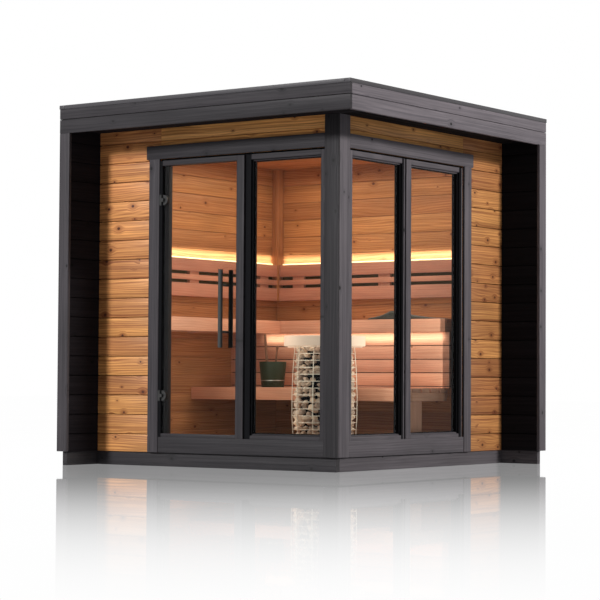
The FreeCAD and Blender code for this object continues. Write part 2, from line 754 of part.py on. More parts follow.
def ladles():
    """A ladle and a short stirring stick that lean inside the bucket."""
    foot = LOWER_BENCH_LEVEL + BUCKET_WALL
    bowl_base = V(bucket_x - LADLE_OFFSET, bucket_y, foot)
    bowl = cylinder(LADLE_BOWL / 2, LADLE_BOWL_HEIGHT, bowl_base)
    stick = cylinder(LADLE_STICK / 2, LADLE_LENGTH, V(0, 0, 0))
    stick.rotate(V(0, 0, 0), V(0, 1, 0), -LADLE_LEAN)
    stick.translate(bowl_base + V(0, 0, LADLE_BOWL_HEIGHT / 2))
    short = cylinder(LADLE_STICK / 2, WHISK_LENGTH, V(0, 0, 0))
    short.rotate(V(0, 0, 0), V(0, 1, 0), -WHISK_LEAN)
    short.translate(V(bucket_x + WHISK_OFFSET, bucket_y, foot + WHISK_LIFT))
    save("ladles", bowl.fuse(stick), short)


def headrest():
    """A wedge cushion, highest nearer its left end."""
    x0 = glazed_inner - HEADREST_FROM_RIGHT - HEADREST_LENGTH / 2
    y0 = lining_face - HEADREST_FROM_BACK - HEADREST_DEPTH / 2
    crown = x0 + HEADREST_LENGTH * HEADREST_CROWN_SHARE
    z0 = UPPER_BENCH_LEVEL
    corners = [V(x0, y0, z0), V(crown, y0, z0 + HEADREST_HEIGHT), V(x0 + HEADREST_LENGTH, y0, z0)]
    outline = Part.makePolygon(corners + corners[:1])
    save("headrest", Part.Face(outline).extrude(V(0, HEADREST_DEPTH, 0)))


plinth()
floor()
closed_walls()
linings()
glazed_walls()
outer_trim()
roof()
windows()
fillers()
door_frame()
door()
benches()
backrests()
heater()
bucket()
ladles()
headrest()
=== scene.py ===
import math
import random

import bpy
import numpy as np
from mathutils import Matrix, Vector


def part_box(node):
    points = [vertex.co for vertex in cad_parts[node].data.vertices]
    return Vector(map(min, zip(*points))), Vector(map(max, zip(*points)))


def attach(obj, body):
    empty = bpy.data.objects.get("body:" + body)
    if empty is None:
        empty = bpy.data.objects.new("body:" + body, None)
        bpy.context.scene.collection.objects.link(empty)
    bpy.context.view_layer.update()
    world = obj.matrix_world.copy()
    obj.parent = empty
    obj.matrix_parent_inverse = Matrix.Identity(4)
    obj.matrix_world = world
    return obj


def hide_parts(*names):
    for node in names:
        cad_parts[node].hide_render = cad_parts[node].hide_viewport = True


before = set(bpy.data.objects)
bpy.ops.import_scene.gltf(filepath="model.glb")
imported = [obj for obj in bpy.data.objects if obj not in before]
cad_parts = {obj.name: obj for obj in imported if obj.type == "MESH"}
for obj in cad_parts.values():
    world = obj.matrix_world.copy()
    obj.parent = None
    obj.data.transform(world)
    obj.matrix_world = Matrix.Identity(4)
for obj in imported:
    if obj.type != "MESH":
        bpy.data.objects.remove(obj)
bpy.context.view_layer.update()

bl_info = {
    "name": "Sauna cabin dresser",
    "version": (1, 0, 0),
    "blender": (4, 5, 0),
    "location": "View3D > Sidebar > Cabin",
    "description": "Dresses the sauna cabin's solids with boards, panes, stones and finishes",
    "category": "Object",
}

CABIN = "cabin"
X, Y, Z = 0, 1, 2
WHITE = (1.0, 1.0, 1.0)


# Sizes and colours that a user would change

def length(name, description, default):
    return bpy.props.FloatProperty(name=name, description=description, default=default, min=0.0,
                                   precision=4, unit="LENGTH", subtype="DISTANCE")


def colour(name, description, default):
    return bpy.props.FloatVectorProperty(name=name, description=description, default=default, size=3,
                                         min=0.0, max=1.0, subtype="COLOR")


class CabinSizes(bpy.types.PropertyGroup):
    """Sizes of the boards, joints, wires and stones."""
    board_pitch: length("Board cover", "Height that one wall board covers", 0.1268)
    board_joint: length("Board joint", "Open height of a joint between two wall boards", 0.005)
    board_thickness: length("Board thickness", "Thickness of the wall boards", 0.018)
    board_start: length("Lowest joint", "Level of the lowest joint in the outer walls", 0.205)
    lining_joint: length("Lining joint", "Open height of a joint in the lining", 0.003)
    lining_start: length("Lining start", "Level of a joint in the lining", 0.592)
    lining_board: length("Lining board", "Thickness of the lining boards", 0.012)
    edge: length("Board edge", "Width of a board's rounded edge", 0.0018)
    stone: length("Stone", "Usual size of a heater stone", 0.060)
    wire: length("Cage wire", "Diameter of the cage's wires", 0.0055)
    bead: length("Glazing bead", "Width of the strip that holds a pane", 0.010)


class CabinColours(bpy.types.PropertyGroup):
    """Colours of the finishes."""
    outer_pale: colour("Outer wood", "Early wood of the outer boards", (0.80, 0.375, 0.125))
    outer_deep: colour("Outer grain", "Late wood of the outer boards", (0.26, 0.082, 0.026))
    outer_knot: colour("Outer knots", "Knots of the outer boards", (0.07, 0.018, 0.007))
    stain_pale: colour("Stained wood", "Worn side of the dark stained wood", (0.034, 0.0305, 0.034))
    stain_deep: colour("Stained grain", "Grain of the dark stained wood", (0.018, 0.0165, 0.019))
    shade_pale: colour("Inner fin wood", "Boards on the inner side of the fins", (0.012, 0.010, 0.012))
    shade_deep: colour("Inner fin grain", "Grain on the inner side of the fins", (0.006, 0.005, 0.006))
    inner_pale: colour("Lining wood", "Early wood of the lining", (0.58, 0.28, 0.115))
    inner_deep: colour("Lining grain", "Late wood of the lining", (0.32, 0.125, 0.042))
    bench_pale: colour("Bench wood", "Early wood of benches and backrests", (0.74, 0.40, 0.27))
    bench_deep: colour("Bench grain", "Late wood of benches and backrests", (0.62, 0.29, 0.185))
    stone: colour("Stone", "Usual colour of the heater stones", (0.72, 0.58, 0.47))
    light: colour("Light strip", "Colour of the light strips", (1.0, 0.82, 0.44))


def sizes():
    return bpy.context.scene.cabin_sizes


def colours():
    return bpy.context.scene.cabin_colours


# Places read from the frame

def solids(node):
    """The box of each separate solid in a CAD node, as (lowest, highest) corners."""
    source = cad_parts[node]
    points = points_of(source)
    _, same = np.unique(np.round(points, 5), axis=0, return_inverse=True)
    same = same.reshape(-1)
    parent = list(range(same.max() + 1))

    def root(i):
        while parent[i] != i:
            parent[i] = parent[parent[i]]
            i = parent[i]
        return i

    for face in source.data.polygons:
        first = root(same[face.vertices[0]])
        for v in face.vertices[1:]:
            parent[root(same[v])] = first
    roots = np.array([root(i) for i in range(len(parent))])[same]
    found = [(points[roots == r].min(axis=0), points[roots == r].max(axis=0)) for r in np.unique(roots)]
    return sorted(([float(v) for v in low], [float(v) for v in high]) for low, high in found)


def points_of(piece):
    points = np.empty(len(piece.data.vertices) * 3)
    piece.data.vertices.foreach_get("co", points)
    return points.reshape(-1, 3)


def move_points(piece, points):
    piece.data.vertices.foreach_set("co", points.ravel())
    piece.data.update()


# Modelling helpers

def deselect():
    if bpy.context.object and bpy.context.object.mode != "OBJECT":
        bpy.ops.object.mode_set(mode="OBJECT")
    bpy.ops.object.select_all(action="DESELECT")


def choose(piece):
    deselect()
    piece.select_set(True)
    bpy.context.view_layer.objects.active = piece


def open_piece(name):
    """A new empty mesh, open in edit mode."""
    deselect()
    bpy.ops.object.add(type="MESH", location=(0, 0, 0))
    piece = bpy.context.object
    piece.name = name
    piece.data.name = name
    bpy.ops.object.mode_set(mode="EDIT")
    return piece


def close_piece(merge=0.0, fill=False):
    """Leaves edit mode, with doubled points merged, small holes filled and the faces turned outwards."""
    bpy.ops.mesh.select_all(action="SELECT")
    if merge:
        bpy.ops.mesh.remove_doubles(threshold=merge)
    if fill:
        bpy.ops.mesh.fill_holes(sides=64)
    bpy.ops.mesh.normals_make_consistent(inside=False)
    bpy.ops.object.mode_set(mode="OBJECT")


def add_block(low, high):
    middle = [(a + b) / 2 for a, b in zip(low, high)]
    size = [b - a for a, b in zip(low, high)]
    bpy.ops.mesh.primitive_cube_add(size=1, location=middle, scale=size)


def apply(piece, kind, **values):
    """Adds a modifier, sets it and applies it."""
    modifier = piece.modifiers.new(kind.lower(), kind)
    for key, value in values.items():
        setattr(modifier, key, value)
    choose(piece)
    bpy.ops.object.modifier_apply(modifier=modifier.name)


def smooth(piece, degrees=35):
    choose(piece)
    bpy.ops.object.shade_smooth_by_angle(angle=math.radians(degrees))


def turned(name, profile, centre, sides, fill=False):
    """A round piece: a circle at the first (radius, level), drawn out through the others."""
    piece = open_piece(name)
    radius, level = profile[0]
    bpy.ops.mesh.primitive_circle_add(vertices=sides, radius=radius, fill_type="NOTHING",
                                      location=(*centre, level))
    bpy.ops.mesh.select_all(action="SELECT")
    for next_radius, next_level in profile[1:]:
        bpy.ops.mesh.extrude_region_move(TRANSFORM_OT_translate={"value": (0, 0, next_level - level)})
        scale = next_radius / radius
        bpy.ops.transform.resize(value=(scale, scale, 1), center_override=(*centre, next_level))
        radius, level = next_radius, next_level
    close_piece(merge=0.00005, fill=fill)
    return piece


def copies(piece, places, tones=None):
    """Joins copies of a piece, one at each place, each with its own mesh, into one piece."""
    made = []
    for i, place in enumerate(places):
        copy = piece.copy()
        copy.data = piece.data.copy()
        bpy.context.collection.objects.link(copy)
        copy.data.transform(place)
        if tones is not None:
            store(copy, "tone", np.full(len(copy.data.vertices), tones[i]))
        made.append(copy)
    name = piece.name
    bpy.data.objects.remove(piece)
    return joined(name, made)


def joined(name, made):
    deselect()
    for copy in made:
        copy.select_set(True)
    bpy.context.view_layer.objects.active = made[0]
    if len(made) > 1:
        bpy.ops.object.join()
    made[0].name = name
    made[0].data.name = name
    return made[0]


def paint(piece, coat_name):
    piece.data.materials.clear()
    piece.data.materials.append(coat(coat_name))


def finish(piece, coat_name, nodes=()):
    """Gives a piece its finish, its body and the nodes that it stands for."""
    paint(piece, coat_name)
    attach(piece, CABIN)
    if nodes:
        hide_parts(*nodes)


def recoat(coat_name, *nodes):
    """CAD nodes keep their shape and get a new finish."""
    for node in nodes:
        paint(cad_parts[node], coat_name)


# Boards

def lay_grain(piece, blocks, seed, vary, tones):
    """Gives each board its own stretch of grain, tone and painted sun side, as attributes of its points.

    Tone is how much lighter the board is than the others. The painted sun side is 1 on the boards of the
    second glazed face and of the back, and 0 elsewhere; these boards are painted lighter or darker as painted
    sunlight.
    """
    board = np.empty(len(piece.data.vertices), dtype=np.int32)
    piece.data.attributes["board"].data.foreach_get("value", board)
    points = points_of(piece)
    grain = np.zeros_like(points)
    tone = np.zeros(len(points))
    painted_sun_side = np.zeros(len(points))
    for i, (low, high, along) in enumerate(blocks):
        size = [b - a for a, b in zip(low, high)]
        rest = sorted((axis for axis in (X, Y, Z) if axis != along), key=lambda axis: -size[axis])
        mask = board == i
        start = (seed.uniform(0, 60), seed.uniform(0, 60), seed.uniform(0, 6))
        for k, axis in enumerate([along] + rest):
            grain[mask, k] = points[mask, axis] - low[axis] + start[k]
        tone[mask] = tones[i] if tones else seed.uniform(-vary, vary)
        # Painted sunlight: boards on the side of the second glazed face and of the back get 1
        painted_sun_side[mask] = low[X] + high[X] + low[Y] + high[Y] > 0
    piece.data.attributes.remove(piece.data.attributes["board"])
    store(piece, "grain", grain)
    store(piece, "tone", tone)
    store(piece, "painted_sun_side", painted_sun_side)


def store(piece, name, values):
    """Keeps a number or a vector for each point of a piece."""
    vector = values.ndim == 2
    made = piece.data.attributes.new(name, "FLOAT_VECTOR" if vector else "FLOAT", "POINT")
    made.data.foreach_set("vector" if vector else "value", values.ravel())


def boards(name, blocks, slot, coat_name, nodes=(), edge=None, vary=0.06, tones=None):
    """One piece of separate boards; each is its lowest corner, highest corner and grain axis."""
    corners = 8
    piece = open_piece(name)
    for low, high, _ in blocks:
        add_block(low, high)
    bpy.ops.object.mode_set(mode="OBJECT")
    number = piece.data.attributes.new("board", "INT", "POINT")
    number.data.foreach_set("value", np.repeat(np.arange(len(blocks), dtype=np.int32), corners))
    apply(piece, "BEVEL", width=edge or sizes().edge, segments=2, limit_method="NONE")
    lay_grain(piece, blocks, random.Random(name), vary, tones)
    smooth(piece)
    finish(piece, coat_name, nodes)


def plain(*nodes):
    """The nodes' solids as boards, with the grain along the longest side."""
    found = []
    for node in nodes:
        for low, high in solids(node):
            size = [b - a for a, b in zip(low, high)]
            found.append((low, high, size.index(max(size))))
    return found


def plain_boards(name, nodes, slot, coat_name, **values):
    """The nodes' solids as one piece of boards that takes their place."""
    boards(name, plain(*nodes), slot, coat_name, nodes, **values)


def trimmed(box, ends, grain):
    """A board: a box with other ends on some of its axes, and the grain axis."""
    low, high = list(box[0]), list(box[1])
    for axis, pair in ends.items():
        low[axis], high[axis] = sorted(pair)
    return low, high, grain


def courses(low, high, pitch, joint, start):
    """Stretches between which boards lie over a height or width, with open joints."""
    level = start - math.ceil((start - low) / pitch) * pitch if start > low else start
    found = []
    while level < high - joint:
        foot = max(level + joint / 2, low)
        top = min(level + pitch - joint / 2, high)
        if top - foot > 2 * joint:
            found.append((foot, top))
        level += pitch
    return found


def clad(box, face, pitch, joint, start, thickness, across=Z):
    """A panel as a core and boards on one face; face is the outward axis and its sign."""
    axis, sign = face
    along = 3 - axis - across
    hidden, shown = (box[0][axis], box[1][axis])[::sign]
    behind = shown - sign * thickness
    found = [trimmed(box, {axis: (hidden, behind)}, along)]
    for course in courses(box[0][across], box[1][across], pitch, joint, start):
        found.append(trimmed(box, {axis: (behind, shown), across: course}, along))
    return found


def wall_boards(box, face):
    s = sizes()
    return clad(box, face, s.board_pitch, s.board_joint, s.board_start, s.board_thickness)


# Finishes

class Nodes:
    """Short calls for the nodes of a material or of the world."""

    def __init__(self, tree):
        self.tree = tree

    def add(self, kind, **values):
        node = self.tree.nodes.new("ShaderNode" + kind)
        for key, value in values.items():
            setattr(node, key, value)
        return node

    def wire(self, value, socket):
        """Links a socket to another one, or sets it."""
        if isinstance(value, bpy.types.NodeSocket):
            self.tree.links.new(value, socket)
        elif hasattr(value, "__len__") and len(socket.default_value) == 4:
            socket.default_value = (*value[:3], 1.0)
        else:
            socket.default_value = value

    def put(self, node, **values):
        for key, value in values.items():
            self.wire(value, node.inputs[key.replace("_", " ")])
        return node

    def fed(self, node, *values):
        """A node with its first sockets wired, in their order."""
        for socket, value in zip(node.inputs, values):
            self.wire(value, socket)
        return node

    def math(self, operation, *values):
        return self.fed(self.add("Math", operation=operation), *values).outputs[0]

    def graded(self, value, slope, start):
        return self.math("MULTIPLY_ADD", value, slope, start)

    def vector(self, operation, *values):
        node = self.fed(self.add("VectorMath", operation=operation), *values)
        return node.outputs["Value"] if operation == "LENGTH" else node.outputs[0]

    def scaled(self, vector, factor):
        node = self.fed(self.add("VectorMath", operation="SCALE"), vector)
        return self.put(node, Scale=factor).outputs[0]

    def span(self, value, low, high, to_low=0.0, to_high=1.0):
        node = self.add("MapRange", interpolation_type="SMOOTHSTEP")
        self.put(node, Value=value, From_Min=low, From_Max=high, To_Min=to_low, To_Max=to_high)
        return node.outputs[0]

    def noise(self, vector, scale, detail=3.0, roughness=0.5):
        node = self.put(self.add("TexNoise"), Vector=vector, Scale=scale, Detail=detail, Roughness=roughness)
        return node.outputs["Fac"]

    def mix(self, factor, first, second):
        """The first colour where the factor is 0 and the second where it is 1."""
        node = self.add("Mix", data_type="RGBA")
        for value, i in ((factor, 0), (first, 6), (second, 7)):
            self.wire(value, node.inputs[i])
        return node.outputs[2]

    def shade(self, body, value, hue=0.5, saturation=1.0):
        return self.put(self.add("HueSaturation"), Color=body, Value=value, Hue=hue,
                        Saturation=saturation).outputs[0]

    def place(self):
        return self.add("TexCoord").outputs["Object"]

    def axis(self, vector, number):
        return self.put(self.add("SeparateXYZ"), Vector=vector).outputs[number]

    def own(self, name):
        """The number that a piece keeps for each of its points under a name."""
        return self.add("Attribute", attribute_name=name).outputs["Fac"]

    def edge_on(self, index):
        """How much a surface mirrors, from little where it is faced to all where it is seen edge-on."""
        return self.put(self.add("Fresnel"), IOR=index).outputs[0]

    def either(self, factor, first, second):
        """The first surface where the factor is 0 and the second where it is 1."""
        return self.fed(self.add("MixShader"), factor, first.outputs[0], second.outputs[0])

    def show(self, surface, output="Material Output"):
        self.wire(surface.outputs[0], self.tree.nodes[output].inputs["Surface"])


class Finish(Nodes):
    """A new material with its usual shader."""

    def __init__(self, name):
        self.material = bpy.data.materials.new(name)
        self.material.use_nodes = True
        super().__init__(self.material.node_tree)
        self.shader = self.tree.nodes["Principled BSDF"]

    def bump(self, height, strength, distance):
        node = self.put(self.add("Bump"), Height=height, Strength=strength, Distance=distance)
        self.put(self.shader, Normal=node.outputs[0])

    def show_only(self, surface):
        """Shows a surface that doesn't use the usual shader, which goes."""
        self.show(surface)
        self.tree.nodes.remove(self.shader)


def knots_of(f, grain, share):
    """Knots in a share of the grain's cells: the core, the halo round it and the way from the middle."""
    cell = (3.6, 7.5, 0.0)
    spread_out = f.vector("MULTIPLY", grain, cell)
    cells = f.put(f.add("TexVoronoi"), Vector=spread_out, Scale=1.0, Randomness=0.9)
    away = f.vector("SUBTRACT", spread_out, cells.outputs["Position"])
    away = f.vector("MULTIPLY", away, (1 / cell[0], 1.35 / cell[1], 0.0))
    chance = f.put(f.add("SeparateColor"), Color=cells.outputs["Color"]).outputs
    here = f.math("LESS_THAN", chance[0], share)
    radius = f.graded(chance[1], 0.008, 0.0055)
    near = f.math("DIVIDE", f.vector("LENGTH", away), radius)
    core = f.math("MULTIPLY", f.span(near, 0.65, 1.25, 1.0, 0.0), here)
    halo = f.math("MULTIPLY", f.span(near, 0.8, 5.0, 1.0, 0.0), here)
    return core, halo, away


def rings_of(f, bent):
    """Early and late wood in turn across a board, drifting a little along it."""
    rings_in_a_metre, full_turn = 62.0, 6.283
    drift = f.noise(f.vector("MULTIPLY", bent, (1.0, 7.0, 7.0)), 1.0, 2.0)
    ring = f.graded(drift, 7.0, f.math("MULTIPLY", f.axis(bent, Y), rings_in_a_metre))
    return f.span(f.math("SINE", f.math("MULTIPLY", ring, full_turn)), -0.9, 1.0)


def lightness_of(f, grain, fibres, tone, painted_sun_side, painted_sun_lightness, painted_light_by_height):
    """How light each place is, by its fibres and patches, its board's tone, the painted sunlight on the sunny
    side and the painted light by level.
    """
    wall_top = 2.4
    patches = f.noise(f.vector("MULTIPLY", grain, (2.2, 8.0, 8.0)), 1.0, 3.0)
    value = f.graded(f.math("SUBTRACT", fibres, 0.5), 0.3, f.graded(patches, 0.8, 0.6))
    level = f.axis(f.place(), Z)
    # Painted sunlight on the sunny side, growing towards the top
    painted_sun_here = f.math("MULTIPLY", painted_sun_side, f.span(level, -0.6, wall_top, 0.55 * painted_sun_lightness, painted_sun_lightness))
    for more in (tone, painted_sun_here):
        value = f.math("MULTIPLY", value, f.math("ADD", more, 1.0))
    # Painted light by level: lighter towards the top, darker towards the foot
    return f.math("MULTIPLY", value, f.span(level, 0.0, wall_top, 1.0 - painted_light_by_height, 1.0 + painted_light_by_height))


def wood(name, pale, deep, knot, knots=0.5, roughness=0.5, bump=0.3, streak=0.6, painted_sun_lightness=0.0, gloss=0.3,
         painted_sun_saturation=0.0, painted_light_by_height=0.0):
    """Wood whose grain, rings and knots follow each board's own grain attribute.

    Knots is the share of places with a knot and streak the share of fine streaks in the grain. The sunny-side
    amounts say how much lighter and stronger in colour the second glazed face is painted, as painted
    sunlight, and the height amount how much lighter the boards are painted at the top than half-way up, and
    darker towards the foot, as painted light.
    """
    f = Finish(name)
    grain = f.add("Attribute", attribute_name="grain").outputs["Vector"]
    tone, painted_sun_side = f.own("tone"), f.own("painted_sun_side")
    core, halo, away = knots_of(f, grain, knots)
    bent = f.vector("ADD", grain, f.scaled(away, f.math("MULTIPLY", halo, -0.8)))
    rings = rings_of(f, bent)
    streaks = f.span(f.noise(f.vector("MULTIPLY", bent, (0.7, 62.0, 62.0)), 1.0, 6.0, 0.7), 0.3, 0.7)
    fibres = f.noise(f.vector("MULTIPLY", bent, (5.0, 420.0, 420.0)), 1.0, 2.0, 0.6)
    body = f.mix(f.graded(rings, 1.0 - streak, f.math("MULTIPLY", streaks, streak)), pale, deep)
    body = f.mix(f.math("MULTIPLY", halo, 0.55), body, deep)
    value = lightness_of(f, grain, fibres, tone, painted_sun_side, painted_sun_lightness, painted_light_by_height)
    # Painted sunlight also changes the strength of the colour on the sunny side
    body = f.shade(body, value, f.graded(tone, 0.03, 0.5), f.graded(painted_sun_side, painted_sun_saturation, 1.0))
    f.put(f.shader, Base_Color=f.mix(core, body, knot), Specular_IOR_Level=gloss,
          Roughness=f.graded(streaks, 0.18, roughness - 0.09))
    height = f.graded(fibres, 0.7, f.math("MULTIPLY", rings, 0.35))
    f.bump(f.graded(core, -0.4, height), bump, 0.0008)
    return f.material


def metal(name, base, metallic, roughness, brushed=1.0, gloss=0.5):
    """Coated or bare metal with a fine change of gloss."""
    f = Finish(name)
    place = f.place()
    fine = f.noise(f.vector("MULTIPLY", place, (90.0, 90.0, 90.0 * brushed)), 1.0)
    f.put(f.shader, Base_Color=f.shade(base, f.graded(f.noise(place, 6.0, 2.0), 0.25, 0.86)),
          Roughness=f.graded(fine, 0.22, roughness - 0.11), Metallic=metallic, Specular_IOR_Level=gloss)
    f.bump(fine, 0.08, 0.0004)
    return f.material


def handle_paint(name, outside, inside, glass_at):
    """Satin paint on the bar outside the glass; the bar inside it is painted duller and darker, as painted
    shade.
    """
    f = Finish(name)
    place = f.place()
    # Painted shade: the bar behind the glass is painted darker than the one outside
    body = f.mix(f.span(f.axis(place, Y), glass_at - 0.004, glass_at + 0.004), outside, inside)
    fine = f.noise(f.vector("MULTIPLY", place, (90.0, 90.0, 30.0)), 1.0)
    f.put(f.shader, Base_Color=f.shade(body, f.graded(fine, 0.3, 0.85)),
          Roughness=f.graded(fine, 0.15, 0.40), Specular_IOR_Level=0.12)
    f.bump(fine, 0.06, 0.0004)
    return f.material


def rough_stone(name, base):
    """Stone with clouds and specks, each one a little lighter or darker."""
    f = Finish(name)
    place, tone = f.place(), f.own("tone")
    cloud = f.noise(place, 26.0, 5.0, 0.65)
    speck = f.noise(place, 420.0, 2.0, 0.7)
    body = f.mix(cloud, [min(1.0, c * 1.35) for c in base], [c * 0.62 for c in base])
    body = f.mix(f.span(speck, 0.58, 0.72, 0.0, 0.45), body, (0.12, 0.10, 0.09))
    body = f.shade(body, f.graded(tone, 0.75, 0.68), f.graded(tone, 0.02, 0.49))
    f.put(f.shader, Base_Color=body, Roughness=0.85)
    f.bump(f.graded(speck, 0.35, cloud), 0.6, 0.002)
    return f.material


def clear_glass(name):
    """Clear toughened glass: tinted see-through, with reflections that grow towards grazing."""
    f = Finish(name)
    smear = f.noise(f.vector("MULTIPLY", f.place(), (3.0, 3.0, 1.2)), 1.0)
    tint = f.mix(f.add("LightPath").outputs["Is Shadow Ray"], (0.93, 0.94, 0.92), (0.30, 0.30, 0.29))
    clear = f.put(f.add("BsdfTransparent"), Color=tint)
    gloss = f.put(f.add("BsdfGlossy"), Color=(0.95, 0.97, 1.0), Roughness=f.graded(smear, 0.02, 0.005))
    mirror = 0.2
    inner_face = f.math("MULTIPLY", f.add("NewGeometry").outputs["Backfacing"], mirror)
    outer_face = f.math("SUBTRACT", mirror, inner_face)
    f.show_only(f.either(f.math("MULTIPLY", f.edge_on(1.45), outer_face), clear, gloss))
    f.material.diffuse_color = (0.8, 0.86, 0.85, 0.25)
    return f.material


def glowing(name, base, strength):
    """A lit surface with a slightly uneven glow."""
    f = Finish(name)
    fade = f.noise(f.place(), 5.0, 1.0)
    f.put(f.shader, Base_Color=base, Emission_Color=base, Roughness=0.6,
          Emission_Strength=f.graded(fade, 0.3 * strength, 0.85 * strength))
    return f.material


def gritty_felt(name):
    f = Finish(name)
    place = f.place()
    grit = f.noise(place, 700.0, 2.0, 0.7)
    body = f.mix(grit, (0.03, 0.03, 0.032), (0.09, 0.09, 0.095))
    f.put(f.shader, Base_Color=f.shade(body, f.graded(f.noise(place, 3.0, 4.0), 0.5, 0.75)), Roughness=0.9)
    f.bump(grit, 0.5, 0.001)
    return f.material


def woven_cloth(name, base):
    """Woven cloth whose threads follow the object's own axes."""
    f = Finish(name)
    place = f.place()
    threads = [f.put(f.add("TexWave", bands_direction=side), Vector=place, Scale=160.0,
                     Distortion=0.4).outputs["Fac"] for side in "XY"]
    weave = f.math("MULTIPLY", *threads)
    body = f.mix(weave, [c * 0.65 for c in base], [c * 1.35 for c in base])
    f.put(f.shader, Base_Color=f.shade(body, f.graded(f.noise(place, 14.0), 0.4, 0.8)), Roughness=0.9,
          Sheen_Weight=0.3)
    f.bump(weave, 0.4, 0.001)
    return f.material


def polished_floor(name):
    """A white studio floor whose polish, and the mirror image in it, fade away from the object."""
    f = Finish(name)
    place = f.place()
    cloud = f.noise(place, 0.8, 2.0)
    white = f.put(f.add("Emission"), Color=f.mix(cloud, WHITE, (0.985, 0.985, 0.985)), Strength=1.0)
    mirror = f.put(f.add("BsdfGlossy"), Color=WHITE, Roughness=f.graded(cloud, 0.02, 0.01))
    dull = f.put(f.add("BsdfDiffuse"), Color=(0.30, 0.30, 0.31))
    polish = f.span(f.vector("LENGTH", place), 1.6, 9.0, 1.0, 0.0)
    seen = f.either(f.math("MULTIPLY", polish, f.edge_on(1.5)), white, mirror)
    f.show_only(f.either(f.add("LightPath").outputs["Is Diffuse Ray"], seen, dull))
    return f.material


COATS = {
    # Outer, stained and inner fin boards are painted lighter or darker on the sunny side as painted sunlight;
    # the outer boards are also painted lighter at the top and darker at the foot, as painted light
    "outer_boards": lambda n, c: wood(n, c.outer_pale, c.outer_deep, c.outer_knot, knots=0.8, streak=0.7,
                                      painted_sun_lightness=-0.22, painted_sun_saturation=-0.01, painted_light_by_height=0.17),
    "stained_boards": lambda n, c: wood(n, c.stain_pale, c.stain_deep, (0.006, 0.0055, 0.006), knots=0.4,
                                        roughness=0.66, bump=0.35, streak=0.75, painted_sun_lightness=2.9, gloss=0.2),
    "shaded_boards": lambda n, c: wood(n, c.shade_pale, c.shade_deep, (0.003, 0.003, 0.003), knots=0.3,
                                       roughness=0.8, streak=0.75, painted_sun_lightness=-0.6, gloss=0.05),
    "lining_boards": lambda n, c: wood(n, c.inner_pale, c.inner_deep, (0.15, 0.045, 0.018), knots=0.55),
    "bench_boards": lambda n, c: wood(n, c.bench_pale, c.bench_deep, (0.30, 0.13, 0.07), knots=0.06,
                                      roughness=0.42, bump=0.15),
    "deck_boards": lambda n, c: wood(n, (0.35, 0.25, 0.15), (0.22, 0.14, 0.08), (0.06, 0.03, 0.02)),
    "ladle_wood": lambda n, c: wood(n, (0.26, 0.13, 0.07), (0.14, 0.06, 0.03), (0.05, 0.02, 0.01), knots=0.0),
    "flashing_sheet": lambda n, c: metal(n, (0.048, 0.045, 0.050), 0.0, 0.5, gloss=0.28),
    "black_metal": lambda n, c: metal(n, (0.008, 0.008, 0.009), 0.0, 0.42, gloss=0.35),
    "handle_paint": lambda n, c: handle_paint(n, (0.050, 0.054, 0.053), (0.004, 0.004, 0.004),
                                              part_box("door_glass")[1][Y]),
    "satin_metal": lambda n, c: metal(n, (0.030, 0.030, 0.030), 0.6, 0.42, 10.0, gloss=0.3),
    "cage_wire": lambda n, c: metal(n, (0.90, 0.83, 0.72), 0.4, 0.45),
    # Matt black for the pane spacers and the heater core, and painted shade in rebates, gaps, upright beads
    # and behind the skirt
    "black_seal": lambda n, c: metal(n, (0.004, 0.004, 0.005), 0.0, 0.7, gloss=0.05),
    # Painted shade in the backrest slots, tinted olive as painted reflection
    "slot_shade": lambda n, c: metal(n, (0.105, 0.085, 0.038), 0.0, 0.8, gloss=0.1),
    "bucket_paint": lambda n, c: metal(n, (0.020, 0.031, 0.013), 0.0, 0.5, gloss=0.25),
    "bucket_band": lambda n, c: metal(n, (0.40, 0.40, 0.36), 1.0, 0.4),
    "heater_stone": lambda n, c: rough_stone(n, c.stone),
    "clear_glass": lambda n, c: clear_glass(n),
    "light_diffuser": lambda n, c: glowing(n, c.light, 1.0),
    # The wooden guard ring glows though it is no lamp: painted light
    "guard_glow": lambda n, c: glowing(n, (0.78, 0.60, 0.47), 0.4),
    "roof_felt": lambda n, c: gritty_felt(n),
    "headrest_cloth": lambda n, c: woven_cloth(n, (0.036, 0.046, 0.038)),
    "studio_floor": lambda n, c: polished_floor(n),
}


def coat(name):
    """The named finish, made the first time that it is asked for."""
    return bpy.data.materials.get(name) or COATS[name](name, colours())


# Walls, trim and roof

class DressPlinth(bpy.types.Operator):
    """Plinth boards under the walls"""
    bl_idname = "cabin.plinth"
    bl_label = "Plinth"

    def execute(self, context):
        # Left side, right side, front end, back end
        plain_boards("plinth_boards", ["plinth_sides", "plinth_ends"], "dark_wood", "stained_boards",
                     edge=0.003, tones=[-0.15, 0.02, -0.25, -0.15])
        return {"FINISHED"}


class DressClosedWalls(bpy.types.Operator):
    """Cladding of the closed walls, the dark boards inside the fins and the fins' front trims"""
    bl_idname = "cabin.closed_walls"
    bl_label = "Closed walls"

    def execute(self, context):
        sides = {"outer_cladding": ("stained_boards", {"left_cladding": (X, -1), "back_cladding": (Y, 1)}),
                 "inner_fin_boards": ("shaded_boards", {"left_wall": (X, 1), "back_wall": (Y, -1)})}
        for name, (coat_name, nodes) in sides.items():
            found = [board for node, face in nodes.items() for board in wall_boards(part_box(node), face)]
            boards(name, found, "dark_wood", coat_name, list(nodes))
        # The left wall's trim and the back wall's
        plain_boards("fin_trim_boards", ["fin_trims"], "dark_wood", "stained_boards", edge=0.003,
                     tones=[0.55, 0.10])
        return {"FINISHED"}


